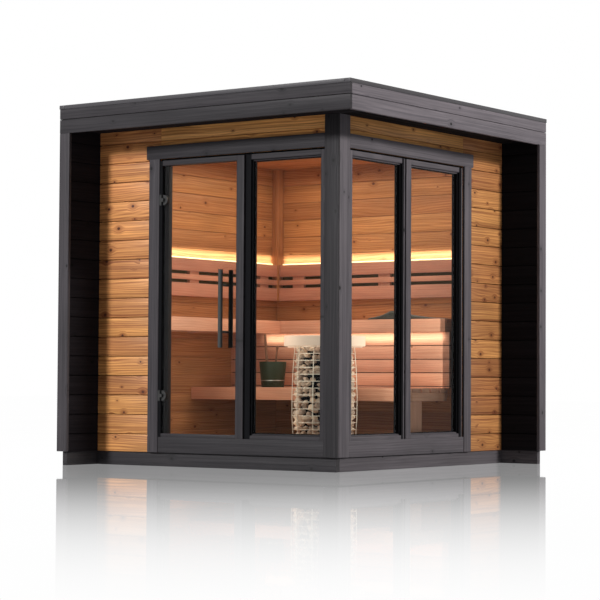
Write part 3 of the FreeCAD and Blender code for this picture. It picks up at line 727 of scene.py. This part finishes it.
class DressGlazedWalls(bpy.types.Operator):
    """Oiled boards on the door face and the second glazed face"""
    bl_idname = "cabin.glazed_walls"
    bl_label = "Glazed walls"

    def execute(self, context):
        over_door_face, over_right_face = solids("lintels")
        # The last number of each wall is how much lighter its boards are; those over the openings are painted
        # lighter as painted light against the soffit's shade
        walls = [(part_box("front_wall"), (Y, -1), 0.0), (over_door_face, (Y, -1), 0.15),
                 (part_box("right_wall"), (X, 1), -0.06), (over_right_face, (X, 1), 0.35)]
        chance = random.Random("walls")
        found = []
        tones = []
        for box, face, lighter in walls:
            made = wall_boards(box, face)
            found += made
            tones += [lighter + chance.uniform(-0.15, 0.15) for _ in made]
        boards("outer_wall_boards", found, "outer_wood", "outer_boards",
               ["front_wall", "right_wall", "lintels"], tones=tones)
        return {"FINISHED"}


class DressTrim(bpy.types.Operator):
    """Corner trim, casings, sills and the recessed strips between the frames"""
    bl_idname = "cabin.trim"
    bl_label = "Trim"

    def execute(self, context):
        trim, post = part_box("corner_trim"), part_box("corner_post")
        low, high = trim
        thick = high[X] - post[1][X]
        found = [trimmed(trim, {Y: (low[Y], low[Y] + thick)}, Z),
                 trimmed(trim, {X: (high[X] - thick, high[X]), Y: (low[Y] + thick, high[Y])}, Z),
                 (*post, Z)]
        boards("corner_boards", found, "dark_wood", "stained_boards", ["corner_trim", "corner_post"],
               tones=[-0.34, 0.0, -0.1])
        # On the door face and on the right face: headers first, then sides
        plain_boards("casing_boards", ["casing_headers", "casing_sides"], "dark_wood", "stained_boards",
                     tones=[0.0, 0.0, 0.6, 0.0])
        plain_boards("sill_boards", ["sills"], "dark_wood", "stained_boards", tones=[-0.22, 0.0])
        # The recessed strips are black as painted shade in the gaps between the frames
        plain_boards("recessed_strips", ["mullion_fillers", "head_fillers"], "dark_wood", "black_seal",
                     edge=0.001)
        return {"FINISHED"}


class DressRoof(bpy.types.Operator):
    """Fascia boards, soffit, deck, felt and edge flashing"""
    bl_idname = "cabin.roof"
    bl_label = "Roof"

    def execute(self, context):
        # Two boards over the door face, then two over the right face
        plain_boards("fascia_boards", ["front_fascia", "right_fascia"], "dark_wood", "stained_boards",
                     edge=0.0025, tones=[-0.1, 0.12, 0.3, 0.34])
        self.soffit()
        plain_boards("roof_deck_panel", ["roof_deck"], "roof_board", "deck_boards")
        plain_boards("roof_flashing", ["flashing_sides", "flashing_ends"], "flashing", "flashing_sheet",
                     edge=0.003)
        self.felt()
        return {"FINISHED"}

    def soffit(self):
        """Three boards along the door face and three along the right face, outside the corner post."""
        box = low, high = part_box("soffit")
        joint = 0.003
        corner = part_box("corner_post")[1][X]
        found = [trimmed(box, {Y: course}, X)
                 for course in courses(low[Y], -corner, (-corner - low[Y]) / 3, joint, low[Y])]
        found += [trimmed(box, {X: course, Y: (-corner, high[Y])}, Y)
                  for course in courses(corner, high[X], (high[X] - corner) / 3, joint, corner)]
        boards("soffit_boards", found, "dark_wood", "shaded_boards", ["soffit"], edge=0.001)

    def felt(self):
        """Three sheets, of which the middle one laps over the others."""
        box = low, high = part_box("roof_membrane")
        width = (high[X] - low[X]) / 3
        sheets = []
        for i, (lap, lower) in enumerate(((0.0, 0.002), (0.04, 0.0), (0.0, 0.002))):
            sides = (low[X] + i * width - lap, low[X] + (i + 1) * width + lap)
            sheets.append(trimmed(box, {X: sides, Z: (low[Z], high[Z] - lower)}, Y))
        boards("roof_felt_sheets", sheets, "roof_felt", "roof_felt", ["roof_membrane"], edge=0.001)


class DressLining(bpy.types.Operator):
    """Boards inside the room: wall lining, corner batten, ceiling and floor"""
    bl_idname = "cabin.lining"
    bl_label = "Lining"

    def execute(self, context):
        s = sizes()
        found = []
        for node, face in (("left_lining", (X, 1)), ("back_lining", (Y, -1))):
            found += self.lining(node, face, s.board_pitch, s.lining_start)
        boards("wall_lining", found, "inner_wood", "lining_boards", ["left_lining", "back_lining"],
               edge=0.001, vary=0.14)
        plain_boards("corner_batten_strip", ["corner_batten"], "inner_wood", "lining_boards", tones=[-0.15])
        for name, node, face, pitch in (("ceiling_boards", "ceiling", (Z, -1), 0.096),
                                        ("floor_boards", "floor_deck", (Z, 1), 0.12)):
            found = self.lining(node, face, pitch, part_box(node)[0][Y], across=Y)
            boards(name, found, "inner_wood", "lining_boards", [node], edge=0.001)
        return {"FINISHED"}

    def lining(self, node, face, pitch, start, across=Z):
        return clad(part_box(node), face, pitch, sizes().lining_joint, start, sizes().lining_board, across)


# Windows and door

def ring_of_strips(box, axis, depths, width):
    """Four strips round an opening that lie between two depths of its face axis."""
    along = 1 - axis
    left, right, foot, top = box[0][along], box[1][along], box[0][Z], box[1][Z]
    between = (left + width, right - width)
    found = []
    for upright, level in (((left, left + width), (foot, foot + width)),
                           ((right - width, right), (top - width, top))):
        found.append(trimmed(box, {axis: depths, along: upright}, Z))
        found.append(trimmed(box, {axis: depths, along: between, Z: level}, along))
    return found


class DressWindows(bpy.types.Operator):
    """Window frames, the beads that hold the panes, the spacer strips and the panes"""
    bl_idname = "cabin.windows"
    bl_label = "Windows"

    def execute(self, context):
        self.frames()
        self.beads()
        recoat("clear_glass", "front_window_glass", "right_window_glass")
        return {"FINISHED"}

    def frames(self):
        """Stained frames, and rebates painted black as painted shade, which on the right face's far stiles
        have a stained edge.
        """
        stained_edge = 0.011
        nodes = ["front_window_stiles", "front_window_rails", "right_window_stiles", "right_window_rails"]
        found = plain("front_window_rails", "right_window_rails")
        left, right = solids("front_window_stiles")
        rebates = [(*left, Z)]
        found.append((*right, Z))
        for i, box in enumerate(sorted(solids("right_window_stiles"), key=lambda box: box[0][Y])):
            if i % 2:
                near, far = box[0][Y], box[1][Y]
                rebates.append(trimmed(box, {Y: (near, far - stained_edge)}, Z))
                found.append(trimmed(box, {Y: (far - stained_edge, far)}, Z))
            else:
                found.append((*box, Z))
        boards("window_frames", found, "dark_wood", "stained_boards", nodes)
        # The rebates are black as painted shade
        boards("frame_rebates", rebates, "dark_wood", "black_seal", edge=0.001)

    def beads(self):
        """Beads on both sides of each pane and a spacer between its sheets, all round its edge."""
        groove = 0.0095
        bead = sizes().bead
        bead_depth = 0.009
        clearance = 0.0004
        sheet = 0.004
        upright = []
        level = []
        spacers = []
        for node, axis in (("front_window_glass", Y), ("right_window_glass", X)):
            for low, high in solids(node):
                near, far = low[axis], high[axis]
                ends = {k: (low[k] + groove, high[k] - groove) for k in (1 - axis, Z)}
                seen = trimmed((low, high), ends, Z)
                for depths in ((near - bead_depth, near - clearance), (far + clearance, far + bead_depth)):
                    ring = ring_of_strips(seen, axis, depths, bead)
                    upright += [strip for strip in ring if strip[2] == Z]
                    level += [strip for strip in ring if strip[2] != Z]
                spacers += ring_of_strips(seen, axis, (near + sheet, far - sheet), bead + 0.006)
        # The upright beads are black as painted shade; the level ones are stained
        boards("upright_beads", upright, "dark_wood", "black_seal", edge=0.0015)
        boards("level_beads", level, "dark_wood", "stained_boards", edge=0.0015)
        boards("pane_spacers", spacers, "dark_wood", "black_seal", edge=0.0006)


class DressDoor(bpy.types.Operator):
    """The door's frame, its glass, hinges and handle"""
    bl_idname = "cabin.door"
    bl_label = "Door"

    def execute(self, context):
        stop = 0.027
        hinge_post, latch_post = solids("door_jambs")
        hinge_face = hinge_post[0][X] + 0.024
        latch_face = latch_post[0][X] + 0.014

        def inner(box):
            return box[0][Y] + stop, box[1][Y]

        # The hinge post's front strip is black as painted shade
        boards("door_rebate", [trimmed(hinge_post, {X: (hinge_post[0][X], hinge_face)}, Z)],
               "dark_wood", "black_seal", edge=0.001)
        found = [trimmed(latch_post, {X: (latch_face, latch_post[1][X])}, Z),
                 trimmed(hinge_post, {X: (hinge_face, hinge_post[1][X]), Y: inner(hinge_post)}, Z),
                 trimmed(latch_post, {X: (latch_post[0][X], latch_face), Y: inner(latch_post)}, Z)]
        for rail in solids("door_rails"):
            front = rail[0][Y]
            found.append(trimmed(rail, {X: (hinge_face, latch_face), Y: (front, front + stop)}, X))
            found.append(trimmed(rail, {X: (hinge_post[1][X], latch_post[0][X]), Y: inner(rail)}, X))
        boards("door_frame_boards", found, "dark_wood", "stained_boards", ["door_jambs", "door_rails"],
               edge=0.0012, vary=0.1)
        recoat("clear_glass", "door_glass")
        recoat("satin_metal", "hinge_plates", "door_clamps")
        recoat("handle_paint", "door_handle")
        return {"FINISHED"}


# Benches

def bench_boards(node, fascia, along, bearers):
    """A bench as slats, a front fascia board and cross bearers."""
    box = low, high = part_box(node)
    across = 1 - along
    slat, usual_width, gap, board, bearer = 0.028, 0.095, 0.012, 0.022, 0.045
    inward = 1 if along == X else -1
    front, back = (low[across], high[across])[::inward]
    depth = abs(back - front) - board
    count = round((depth + gap) / (usual_width + gap))
    width = (depth + gap) / count - gap
    foot, top = high[Z] - fascia, high[Z]

    def block(start, end, grain, levels, stretch=None):
        depths = (front + inward * start, front + inward * end)
        return trimmed(box, {across: depths, along: stretch or (low[along], high[along]), Z: levels}, grain)

    found = [block(0.0, board, along, (foot, top))]
    for i in range(count):
        start = board + gap * 0.5 + i * (width + gap)
        end = start + width - gap * 0.5 * (i == count - 1)
        found.append(block(start, end, along, (top - slat, top)))
    for i in range(bearers):
        start = low[along] + (high[along] - low[along] - bearer) * i / (bearers - 1)
        found.append(block(board, abs(back - front), across, (foot, top - slat), (start, start + bearer)))
    return found


class DressBenches(bpy.types.Operator):
    """The upper and lower benches, the skirt between them and the legs"""
    bl_idname = "cabin.benches"
    bl_label = "Benches"

    def execute(self, context):
        found = bench_boards("upper_bench_back", 0.090, X, 5)
        found += bench_boards("upper_bench_left", 0.090, Y, 4)
        boards("upper_bench_boards", found, "bench_wood", "bench_boards",
               ["upper_bench_back", "upper_bench_left"], edge=0.004)
        found = bench_boards("lower_bench", 0.085, X, 5) + plain("bench_legs")
        boards("lower_bench_boards", found, "bench_wood", "bench_boards", ["lower_bench", "bench_legs"],
               edge=0.004)
        less = 0.001
        found = [trimmed((low, high), {Z: (low[Z] + less, high[Z] - less)}, X)
                 for low, high in solids("bench_skirt")]
        boards("bench_skirt_boards", found, "bench_wood", "bench_boards", ["bench_skirt"], edge=0.002)
        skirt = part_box("bench_skirt")
        back = skirt[1][Y]
        # A black strip behind the skirt boards' joints, as painted shade
        boards("skirt_shade", [trimmed(skirt, {Y: (back + 0.0005, back + 0.004)}, X)],
               "bench_wood", "black_seal", edge=0.001)
        return {"FINISHED"}


class DressBackrests(bpy.types.Operator):
    """Backrest boards, their spacers and the light strips above them"""
    bl_idname = "cabin.backrests"
    bl_label = "Backrests"

    def execute(self, context):
        found = []
        shades = []
        for node, along, spacers in (("left_backrest", Y, (0.871, 0.070, -0.708)),
                                     ("back_backrest", X, (-0.840, -0.081, 0.676))):
            rest, shade = self.backrest(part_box(node), along, spacers)
            found += rest
            shades.append(shade)
        # Three boards and three spacers on each wall, the lowest board and the first spacer first; their
        # tones are painted shade, darkest on the top board under the light strip
        boards("backrest_boards", found, "bench_wood", "bench_boards", ["left_backrest", "back_backrest"],
               edge=0.003, tones=[-0.20, -0.16, -0.28, -0.1, -0.1, -0.1] * 2)
        boards("backrest_shades", shades, "bench_wood", "slot_shade", edge=0.001)
        plain_boards("light_diffusers", ["light_strips"], "light", "light_diffuser", edge=0.002)
        return {"FINISHED"}

    def backrest(self, box, along, spacers):
        """The boards and spacers of one backrest, and the strip that darkens the slots behind them as painted
        shade.
        """
        heights = (0.093, 0.037, 0.087)
        slot, board, spacer, half_spacer = 0.023, 0.020, 0.030, 0.05
        low, high = box
        across = 1 - along
        inward = 1 if along == Y else -1
        wall = (low[across], high[across])[::inward][0]

        def off_wall(near, far):
            return wall + inward * near, wall + inward * far

        found = []
        foot = low[Z]
        for height in heights:
            found.append(trimmed(box, {across: off_wall(spacer, spacer + board), Z: (foot, foot + height)},
                                 along))
            foot += height + slot
        for middle in spacers:
            found.append(trimmed(box, {across: off_wall(0.0, spacer),
                                       along: (middle - half_spacer, middle + half_spacer)}, Z))
        shade = trimmed(box, {across: off_wall(0.0005, 0.004), Z: (low[Z] + 0.02, high[Z] - 0.02)}, along)
        return found, shade


# Heater, bucket and headrest

def middle_of(node):
    low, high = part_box(node)
    return (low[X] + high[X]) / 2, (low[Y] + high[Y]) / 2


def around(middle, turns):
    """Places round an upright line, one at each turn."""
    return [Matrix.Translation((*middle, 0)) @ Matrix.Rotation(turn, 4, "Z") for turn in turns]


def cage_radius(level):
    """Radius of the heap of stones at a level, read from its solid."""
    points = points_of(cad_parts["heater_stones"])
    middle = middle_of("heater_stones")
    reach = np.hypot(points[:, X] - middle[0], points[:, Y] - middle[1])
    levels = np.unique(np.round(points[:, Z], 4))
    radii = [reach[np.abs(points[:, Z] - z) < 0.001].max() for z in levels]
    return float(np.interp(level, levels, radii))


def rounded_stone(seed):
    """One broken stone with flat faces and worn edges, about 1 across."""
    chance = random.Random(seed)
    deselect()
    bpy.ops.mesh.primitive_ico_sphere_add(subdivisions=1, radius=0.56)
    stone = bpy.context.object
    stone.name = "stone_%d" % seed
    bpy.ops.object.mode_set(mode="EDIT")
    for _ in range(7):
        bpy.ops.mesh.select_all(action="SELECT")
        way = Vector([chance.uniform(-1, 1) for _ in range(3)]).normalized()
        bpy.ops.mesh.bisect(plane_co=way * chance.uniform(0.28, 0.42), plane_no=way, clear_outer=True,
                            use_fill=True)
    bpy.ops.object.mode_set(mode="OBJECT")
    apply(stone, "BEVEL", width=0.035, segments=2, limit_method="ANGLE", angle_limit=math.radians(18))
    smooth(stone, 30)
    return stone


class DressHeater(bpy.types.Operator):
    """The heater's stones, its cage of wires, its guard ring and its base"""
    bl_idname = "cabin.heater"
    bl_label = "Heater"

    def execute(self, context):
        self.stones()
        self.cage()
        self.guard()
        recoat("black_metal", "heater_base")
        return {"FINISHED"}

    def stones(self):
        low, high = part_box("heater_stones")
        middle = middle_of("heater_stones")
        usual = sizes().stone
        chance = random.Random("stones")
        kinds = [rounded_stone(seed) for seed in range(8)]
        places = [[] for _ in kinds]
        tones = [[] for _ in kinds]
        crown = high[Z] - 0.022
        for level, radius in self.rows(low[Z], crown, usual):
            count = max(3, round(math.tau * radius / (usual * 0.84)))
            start = chance.uniform(0, math.tau)
            for i in range(count):
                angle = start + math.tau * (i + chance.uniform(-0.24, 0.24)) / count
                size = usual * chance.uniform(0.66, 1.10)
                reach = radius + (usual - size) * 0.47
                kind = chance.randrange(len(kinds))
                turn = Matrix.Rotation(chance.uniform(0, math.tau), 4, "Z")
                for side in "XY":
                    turn = turn @ Matrix.Rotation(chance.uniform(-0.4, 0.4), 4, side)
                place = Matrix.Translation((middle[0] + reach * math.cos(angle),
                                            middle[1] + reach * math.sin(angle),
                                            level + chance.uniform(-0.010, 0.010)))
                wide, flat = chance.uniform(0.95, 1.15), chance.uniform(0.6, 0.85)
                places[kind].append(place @ turn @ Matrix.Diagonal((size * wide, size, size * flat, 1)))
                tones[kind].append(chance.random())
        heaps = [copies(kind, place, tone) for kind, place, tone in zip(kinds, places, tones)]
        finish(joined("heater_stone_heap", heaps), "heater_stone", ["heater_stones"])
        inset = 0.03
        profile = [(0.02, low[Z]), (cage_radius(low[Z]) - inset, low[Z] + 0.001),
                   (cage_radius(crown) - inset, crown - inset), (0.02, crown - inset + 0.002)]
        finish(turned("heater_core", profile, middle, 24), "black_seal")

    def rows(self, foot, crown, usual):
        """Levels and radii of the rows of stones: up the cage's side, then three rings on the crown."""
        found = []
        level = foot + usual * 0.42
        while level < crown - usual * 0.3:
            found.append((level, cage_radius(level) - usual * 0.50))
            level += usual * 0.60
        for share in (0.86, 0.52, 0.18):
            found.append((crown - usual * 0.28 + (1 - share) * 0.020, cage_radius(crown) * share))
        return found

    def cage(self):
        low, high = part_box("heater_cage")
        middle = middle_of("heater_cage")
        wire = sizes().wire
        hoops, bars, steps = 15, 10, 12

        def radius_at(level):
            return cage_radius(min(level, high[Z] - 0.002)) + 0.003

        deselect()
        made = []
        for i in range(hoops):
            level = low[Z] + wire / 2 + (high[Z] - low[Z] - wire) * i / (hoops - 1)
            bpy.ops.mesh.primitive_torus_add(major_radius=radius_at(level), minor_radius=wire / 2,
                                             major_segments=48, minor_segments=6, location=(*middle, level))
            made.append(bpy.context.object)
            bpy.ops.object.transform_apply(location=True, rotation=True, scale=True)
        bar = open_piece("cage_bar")
        levels = [low[Z] + (high[Z] - low[Z]) * i / steps for i in range(steps + 1)]
        path = [(radius_at(level) + wire, 0, level) for level in levels]
        bpy.ops.mesh.primitive_circle_add(vertices=6, radius=wire / 2, fill_type="NGON", location=path[0])
        for here, ahead in zip(path, path[1:]):
            bpy.ops.mesh.extrude_region_move(TRANSFORM_OT_translate={"value": Vector(ahead) - Vector(here)})
        close_piece()
        smooth(bar, 60)
        turns = [math.tau * i / bars - math.radians(3) for i in range(bars)]
        made.append(copies(bar, around(middle, turns)))
        cage = joined("heater_cage_wires", made)
        smooth(cage, 60)
        finish(cage, "cage_wire", ["heater_cage"])

    def guard(self):
        low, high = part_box("heater_guard")
        middle = middle_of("heater_guard")
        outer = (high[X] - low[X]) / 2
        inner = outer - 0.014
        foot = high[Z] - 0.068
        ring = turned("heater_guard_ring", [(inner, foot), (outer, foot), (outer, high[Z]), (inner, high[Z]),
                                            (inner, foot)], middle, 96)
        apply(ring, "BEVEL", width=0.005, segments=3, limit_method="ANGLE", angle_limit=math.radians(50))
        smooth(ring)
        spoke = open_piece("guard_spoke")
        add_block((0.188, -0.008, foot - 0.008), (inner + 0.007, 0.008, foot))
        close_piece()
        apply(spoke, "BEVEL", width=0.002, segments=2, limit_method="NONE")
        # Half-way between two bars of the cage
        turns = [math.radians((bar + 0.5) * 36 - 3) for bar in (0, 2, 5, 8)]
        spokes = copies(spoke, around(middle, turns))
        # The guard ring glows as painted light
        finish(joined("heater_guard_ring", [ring, spokes]), "guard_glow", ["heater_guard"])


class DressBucket(bpy.types.Operator):
    """The bucket with its band, and the ladle and stick in it"""
    bl_idname = "cabin.bucket"
    bl_label = "Bucket"

    def execute(self, context):
        low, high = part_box("bucket")
        middle = middle_of("bucket")
        top = (high[X] - low[X]) / 2
        taper, height, wall = 0.017, 0.177, 0.006
        foot = top - taper
        profile = [(0.004, low[Z]), (foot - 0.003, low[Z]), (foot, low[Z] + 0.003),
                   (top - 0.001, high[Z] - 0.004), (top - 0.002, high[Z]), (top - wall, high[Z]),
                   (top - wall - 0.001, high[Z] - 0.003), (foot - wall, low[Z] + wall),
                   (0.004, low[Z] + wall)]
        body = turned("bucket_body", profile, middle, 48, fill=True)
        smooth(body, 40)
        finish(body, "bucket_paint", ["bucket"])
        band_level, band_height = 0.045, 0.005
        level = low[Z] + band_level
        reach = foot + taper * band_level / height
        band = turned("bucket_band_ring", [(reach - 0.001, level), (reach + 0.0012, level),
                                           (reach + 0.0016, level + band_height),
                                           (reach - 0.001, level + band_height), (reach - 0.001, level)],
                      middle, 48)
        smooth(band, 40)
        finish(band, "bucket_band")
        self.sticks(low[Z] + wall, middle)
        return {"FINISHED"}

    def sticks(self, floor, middle):
        """The ladle's bowl and stick, and a short stick, each with its place in the bucket and its lean."""
        shapes = {
            "ladle_bowl": (24, -0.039, 0.0, 0, [
                (0.004, 0.0), (0.020, 0.002), (0.025, 0.012), (0.024, 0.034), (0.021, 0.034), (0.021, 0.014),
                (0.004, 0.006)]),
            "ladle_stick": (16, -0.039, 0.017, -5, [
                (0.0055, 0.0), (0.009, 0.01), (0.0085, 0.2), (0.009, 0.30), (0.0075, 0.342), (0.003, 0.345)]),
            "short_stick": (16, 0.010, 0.0015, 6, [
                (0.005, 0.0), (0.0070, 0.01), (0.0065, 0.24), (0.0060, 0.252), (0.0090, 0.262),
                (0.0100, 0.271), (0.0070, 0.278), (0.002, 0.280)]),
        }
        made = []
        for name, (sides, aside, above, lean, profile) in shapes.items():
            shape = turned(name, profile, (0, 0), sides, fill=True)
            shape.data.transform(Matrix.Translation((middle[0] + aside, middle[1], floor + above)) @
                                 Matrix.Rotation(math.radians(lean), 4, "Y"))
            made.append(shape)
        ladles = joined("ladle_and_stick", made)
        smooth(ladles, 40)
        points = points_of(ladles)
        store(ladles, "grain", points[:, [Z, X, Y]])
        store(ladles, "tone", np.zeros(len(points)))
        finish(ladles, "ladle_wood", ["ladles"])


class DressHeadrest(bpy.types.Operator):
    """The padded headrest on the upper bench"""
    bl_idname = "cabin.headrest"
    bl_label = "Headrest"

    def execute(self, context):
        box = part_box("headrest")
        pad = self.wedge(*box)
        self.puff(pad, *box)
        apply(pad, "SUBSURF", levels=1, render_levels=1)
        smooth(pad, 60)
        finish(pad, "headrest_cloth", ["headrest"])
        return {"FINISHED"}

    def wedge(self, low, high):
        """A thin slab whose top is drawn up to a crest across it, lower towards the back."""
        crest, inset, thin = 0.4, 0.003, 0.006
        pad = open_piece("headrest_pad")
        middle = ((low[X] + high[X]) / 2, (low[Y] + high[Y]) / 2, low[Z] + inset)
        bpy.ops.mesh.primitive_grid_add(x_subdivisions=16, y_subdivisions=8, size=1, location=middle)
        bpy.ops.mesh.select_all(action="SELECT")
        bpy.ops.transform.resize(value=(high[X] - low[X] - 2 * inset, high[Y] - low[Y] - 2 * inset, 1),
                                 center_override=middle)
        bpy.ops.mesh.extrude_region_move(TRANSFORM_OT_translate={"value": (0, 0, thin)})
        close_piece()
        points = points_of(pad)
        share = (points[:, X] - low[X]) / (high[X] - low[X])
        rise = np.where(share < crest, share / crest, (1 - share) / (1 - crest))
        away = (points[:, Y] - low[Y]) / (high[Y] - low[Y])
        rise = rise ** 1.7 * (1 - 0.6 * away) * (high[Z] - low[Z] - 0.010)
        top = points[:, Z] > low[Z] + inset + thin / 2
        points[top, Z] += rise[top]
        move_points(pad, points)
        return pad

    def puff(self, pad, low, high):
        """Puffs the pad's cloth out a little, and keeps it within its box."""
        furthest, room = 0.007, 0.0005
        apply(pad, "REMESH", mode="VOXEL", voxel_size=0.006)
        before = points_of(pad)
        cloth = pad.modifiers.new("puff", "CLOTH")
        cloth.settings.use_pressure = True
        cloth.settings.uniform_pressure_force = 4.0
        cloth.settings.effector_weights.gravity = 0.0
        for step in range(1, 21):
            bpy.context.scene.frame_set(step)
        choose(pad)
        bpy.ops.object.modifier_apply(modifier=cloth.name)
        moved = points_of(pad) - before
        far = np.linalg.norm(moved, axis=1, keepdims=True)
        after = before + moved * np.minimum(1.0, furthest / np.maximum(far, 1e-9))
        move_points(pad, np.clip(after, np.array(low) + room, np.array(high) - room))
        bpy.context.scene.frame_set(1)


# Stage

def facing(way):
    """A turn that points a lamp's -Z along a way, with its X level."""
    back = -way.normalized()
    side = Vector((0, 1, 0) if abs(back.z) > 0.9 else (0, 0, 1)).cross(back).normalized()
    return Matrix((side, back.cross(side), back)).transposed().to_4x4()


def lamp(name, kind, place, aim, energy, tint):
    light = bpy.data.lights.new(name, kind)
    light.energy = energy
    light.color = tint
    made = bpy.data.objects.new(name, light)
    bpy.context.collection.objects.link(made)
    made.matrix_world = Matrix.Translation(place) @ facing(Vector(aim) - Vector(place))
    return light


def area_light(name, place, aim, size, energy, tint, spread=180.0):
    light = lamp(name, "AREA", place, aim, energy, tint)
    light.shape = "RECTANGLE"
    light.size, light.size_y = size
    light.spread = math.radians(spread)


def sun(name, source, energy, softness, tint):
    light = lamp(name, "SUN", [4 * s for s in source], (0, 0, 0), energy, tint)
    light.angle = math.radians(softness)


class SetStage(bpy.types.Operator):
    """Floor, lights and camera"""
    bl_idname = "cabin.stage"
    bl_label = "Stage"

    def execute(self, context):
        deselect()
        bpy.ops.mesh.primitive_plane_add(size=80, location=(0, 0, 0))
        floor = context.object
        floor.name = "studio_floor"
        floor.data.materials.append(coat("studio_floor"))
        self.backdrop(context.scene)
        self.lights()
        self.camera(context.scene)
        return {"FINISHED"}

    def backdrop(self, scene):
        """White behind the object and in reflections, and a softer light from all round."""
        scene.world = bpy.data.worlds.new("studio")
        scene.world.use_nodes = True
        scene.view_settings.view_transform = "Standard"
        f = Nodes(scene.world.node_tree)
        seen = f.put(f.tree.nodes["Background"], Color=WHITE)
        soft = f.put(f.add("Background"), Color=(1.0, 0.95, 0.90), Strength=0.14)
        rays = f.add("LightPath").outputs
        seen_or_mirrored = f.math("MAXIMUM", rays["Is Camera Ray"], rays["Is Glossy Ray"])
        f.show(f.either(seen_or_mirrored, soft, seen), "World Output")

    def lights(self):
        """Two suns, the light strips over the backrests and under the bench, and light in the room."""
        sun("front_key", (-0.27, -0.88, 0.39), 3.1, 10.0, WHITE)
        sun("right_key", (0.915, 0.096, 0.39), 2.75, 8.0, (1.0, 0.97, 0.93))
        warm = (1.0, 0.90, 0.74)
        strip = (1.78, 0.05)
        area_light("left_glow", (-1.029, 0.1, 1.441), (-1.059, 0.1, 1.441), strip, 1.7, warm, 110.0)
        area_light("back_glow", (-0.1, 1.029, 1.441), (-0.1, 1.059, 1.441), strip, 1.7, warm, 110.0)
        area_light("bench_glow", (0.0, 0.494, 0.850), (0.0, 0.522, 0.850), (1.5, 0.05), 0.9, warm)
        area_light("room_glow", (-0.1, 0.1, 2.07), (-0.1, 0.1, 0.0), (1.5, 1.5), 17.0, (1.0, 0.88, 0.74))
        pale = (1.0, 0.93, 0.84)
        doorway = (0.9, 1.3)
        area_light("front_fill", (-0.25, -0.74, 0.9), (-0.25, 0.0, 0.9), doorway, 5.0, pale)
        area_light("right_fill", (0.74, 0.15, 0.9), (0.0, 0.15, 0.9), doorway, 5.0, pale)

    def camera(self, scene):
        """The camera at the photo's place: its turn, pitch and roll as measured."""
        place = (8.1789, -11.1108, 0.5596)
        turn, pitch, roll = 0.609, 0.0389, 0.0047
        data = bpy.data.cameras.new("photo_camera")
        data.sensor_width = 36.0
        data.lens = 124.164
        data.shift_x = -0.10
        data.clip_end = 200.0
        camera = bpy.data.objects.new("photo_camera", data)
        bpy.context.collection.objects.link(camera)
        matrix = Matrix.Translation(place)
        for angle, axis in ((turn, "Z"), (math.pi / 2 + pitch, "X"), (roll, "Z")):
            matrix = matrix @ Matrix.Rotation(angle, 4, axis)
        camera.matrix_world = matrix
        scene.camera = camera


PIECES = (DressPlinth, DressClosedWalls, DressGlazedWalls, DressTrim, DressRoof, DressLining, DressWindows,
          DressDoor, DressBenches, DressBackrests, DressHeater, DressBucket, DressHeadrest, SetStage)


class CabinPanel(bpy.types.Panel):
    """Lists the pieces of the cabin"""
    bl_idname = "VIEW3D_PT_cabin"
    bl_label = "Sauna cabin"
    bl_space_type = "VIEW_3D"
    bl_region_type = "UI"
    bl_category = "Cabin"

    def draw(self, context):
        for group in (context.scene.cabin_sizes, context.scene.cabin_colours):
            column = self.layout.column(align=True)
            for name in group.__annotations__:
                column.prop(group, name)
        for piece in PIECES:
            self.layout.operator(piece.bl_idname)


CLASSES = (CabinSizes, CabinColours, *PIECES, CabinPanel)


def register():
    for cls in CLASSES:
        bpy.utils.register_class(cls)
    bpy.types.Scene.cabin_sizes = bpy.props.PointerProperty(type=CabinSizes)
    bpy.types.Scene.cabin_colours = bpy.props.PointerProperty(type=CabinColours)


def unregister():
    del bpy.types.Scene.cabin_colours
    del bpy.types.Scene.cabin_sizes
    for cls in reversed(CLASSES):
        bpy.utils.unregister_class(cls)


def main():
    register()
    bpy.ops.cabin.plinth()
    bpy.ops.cabin.closed_walls()
    bpy.ops.cabin.glazed_walls()
    bpy.ops.cabin.trim()
    bpy.ops.cabin.roof()
    bpy.ops.cabin.lining()
    bpy.ops.cabin.windows()
    bpy.ops.cabin.door()
    bpy.ops.cabin.benches()
    bpy.ops.cabin.backrests()
    bpy.ops.cabin.heater()
    bpy.ops.cabin.bucket()
    bpy.ops.cabin.headrest()
    bpy.ops.cabin.stage()


if __name__ == "__main__":
    main()
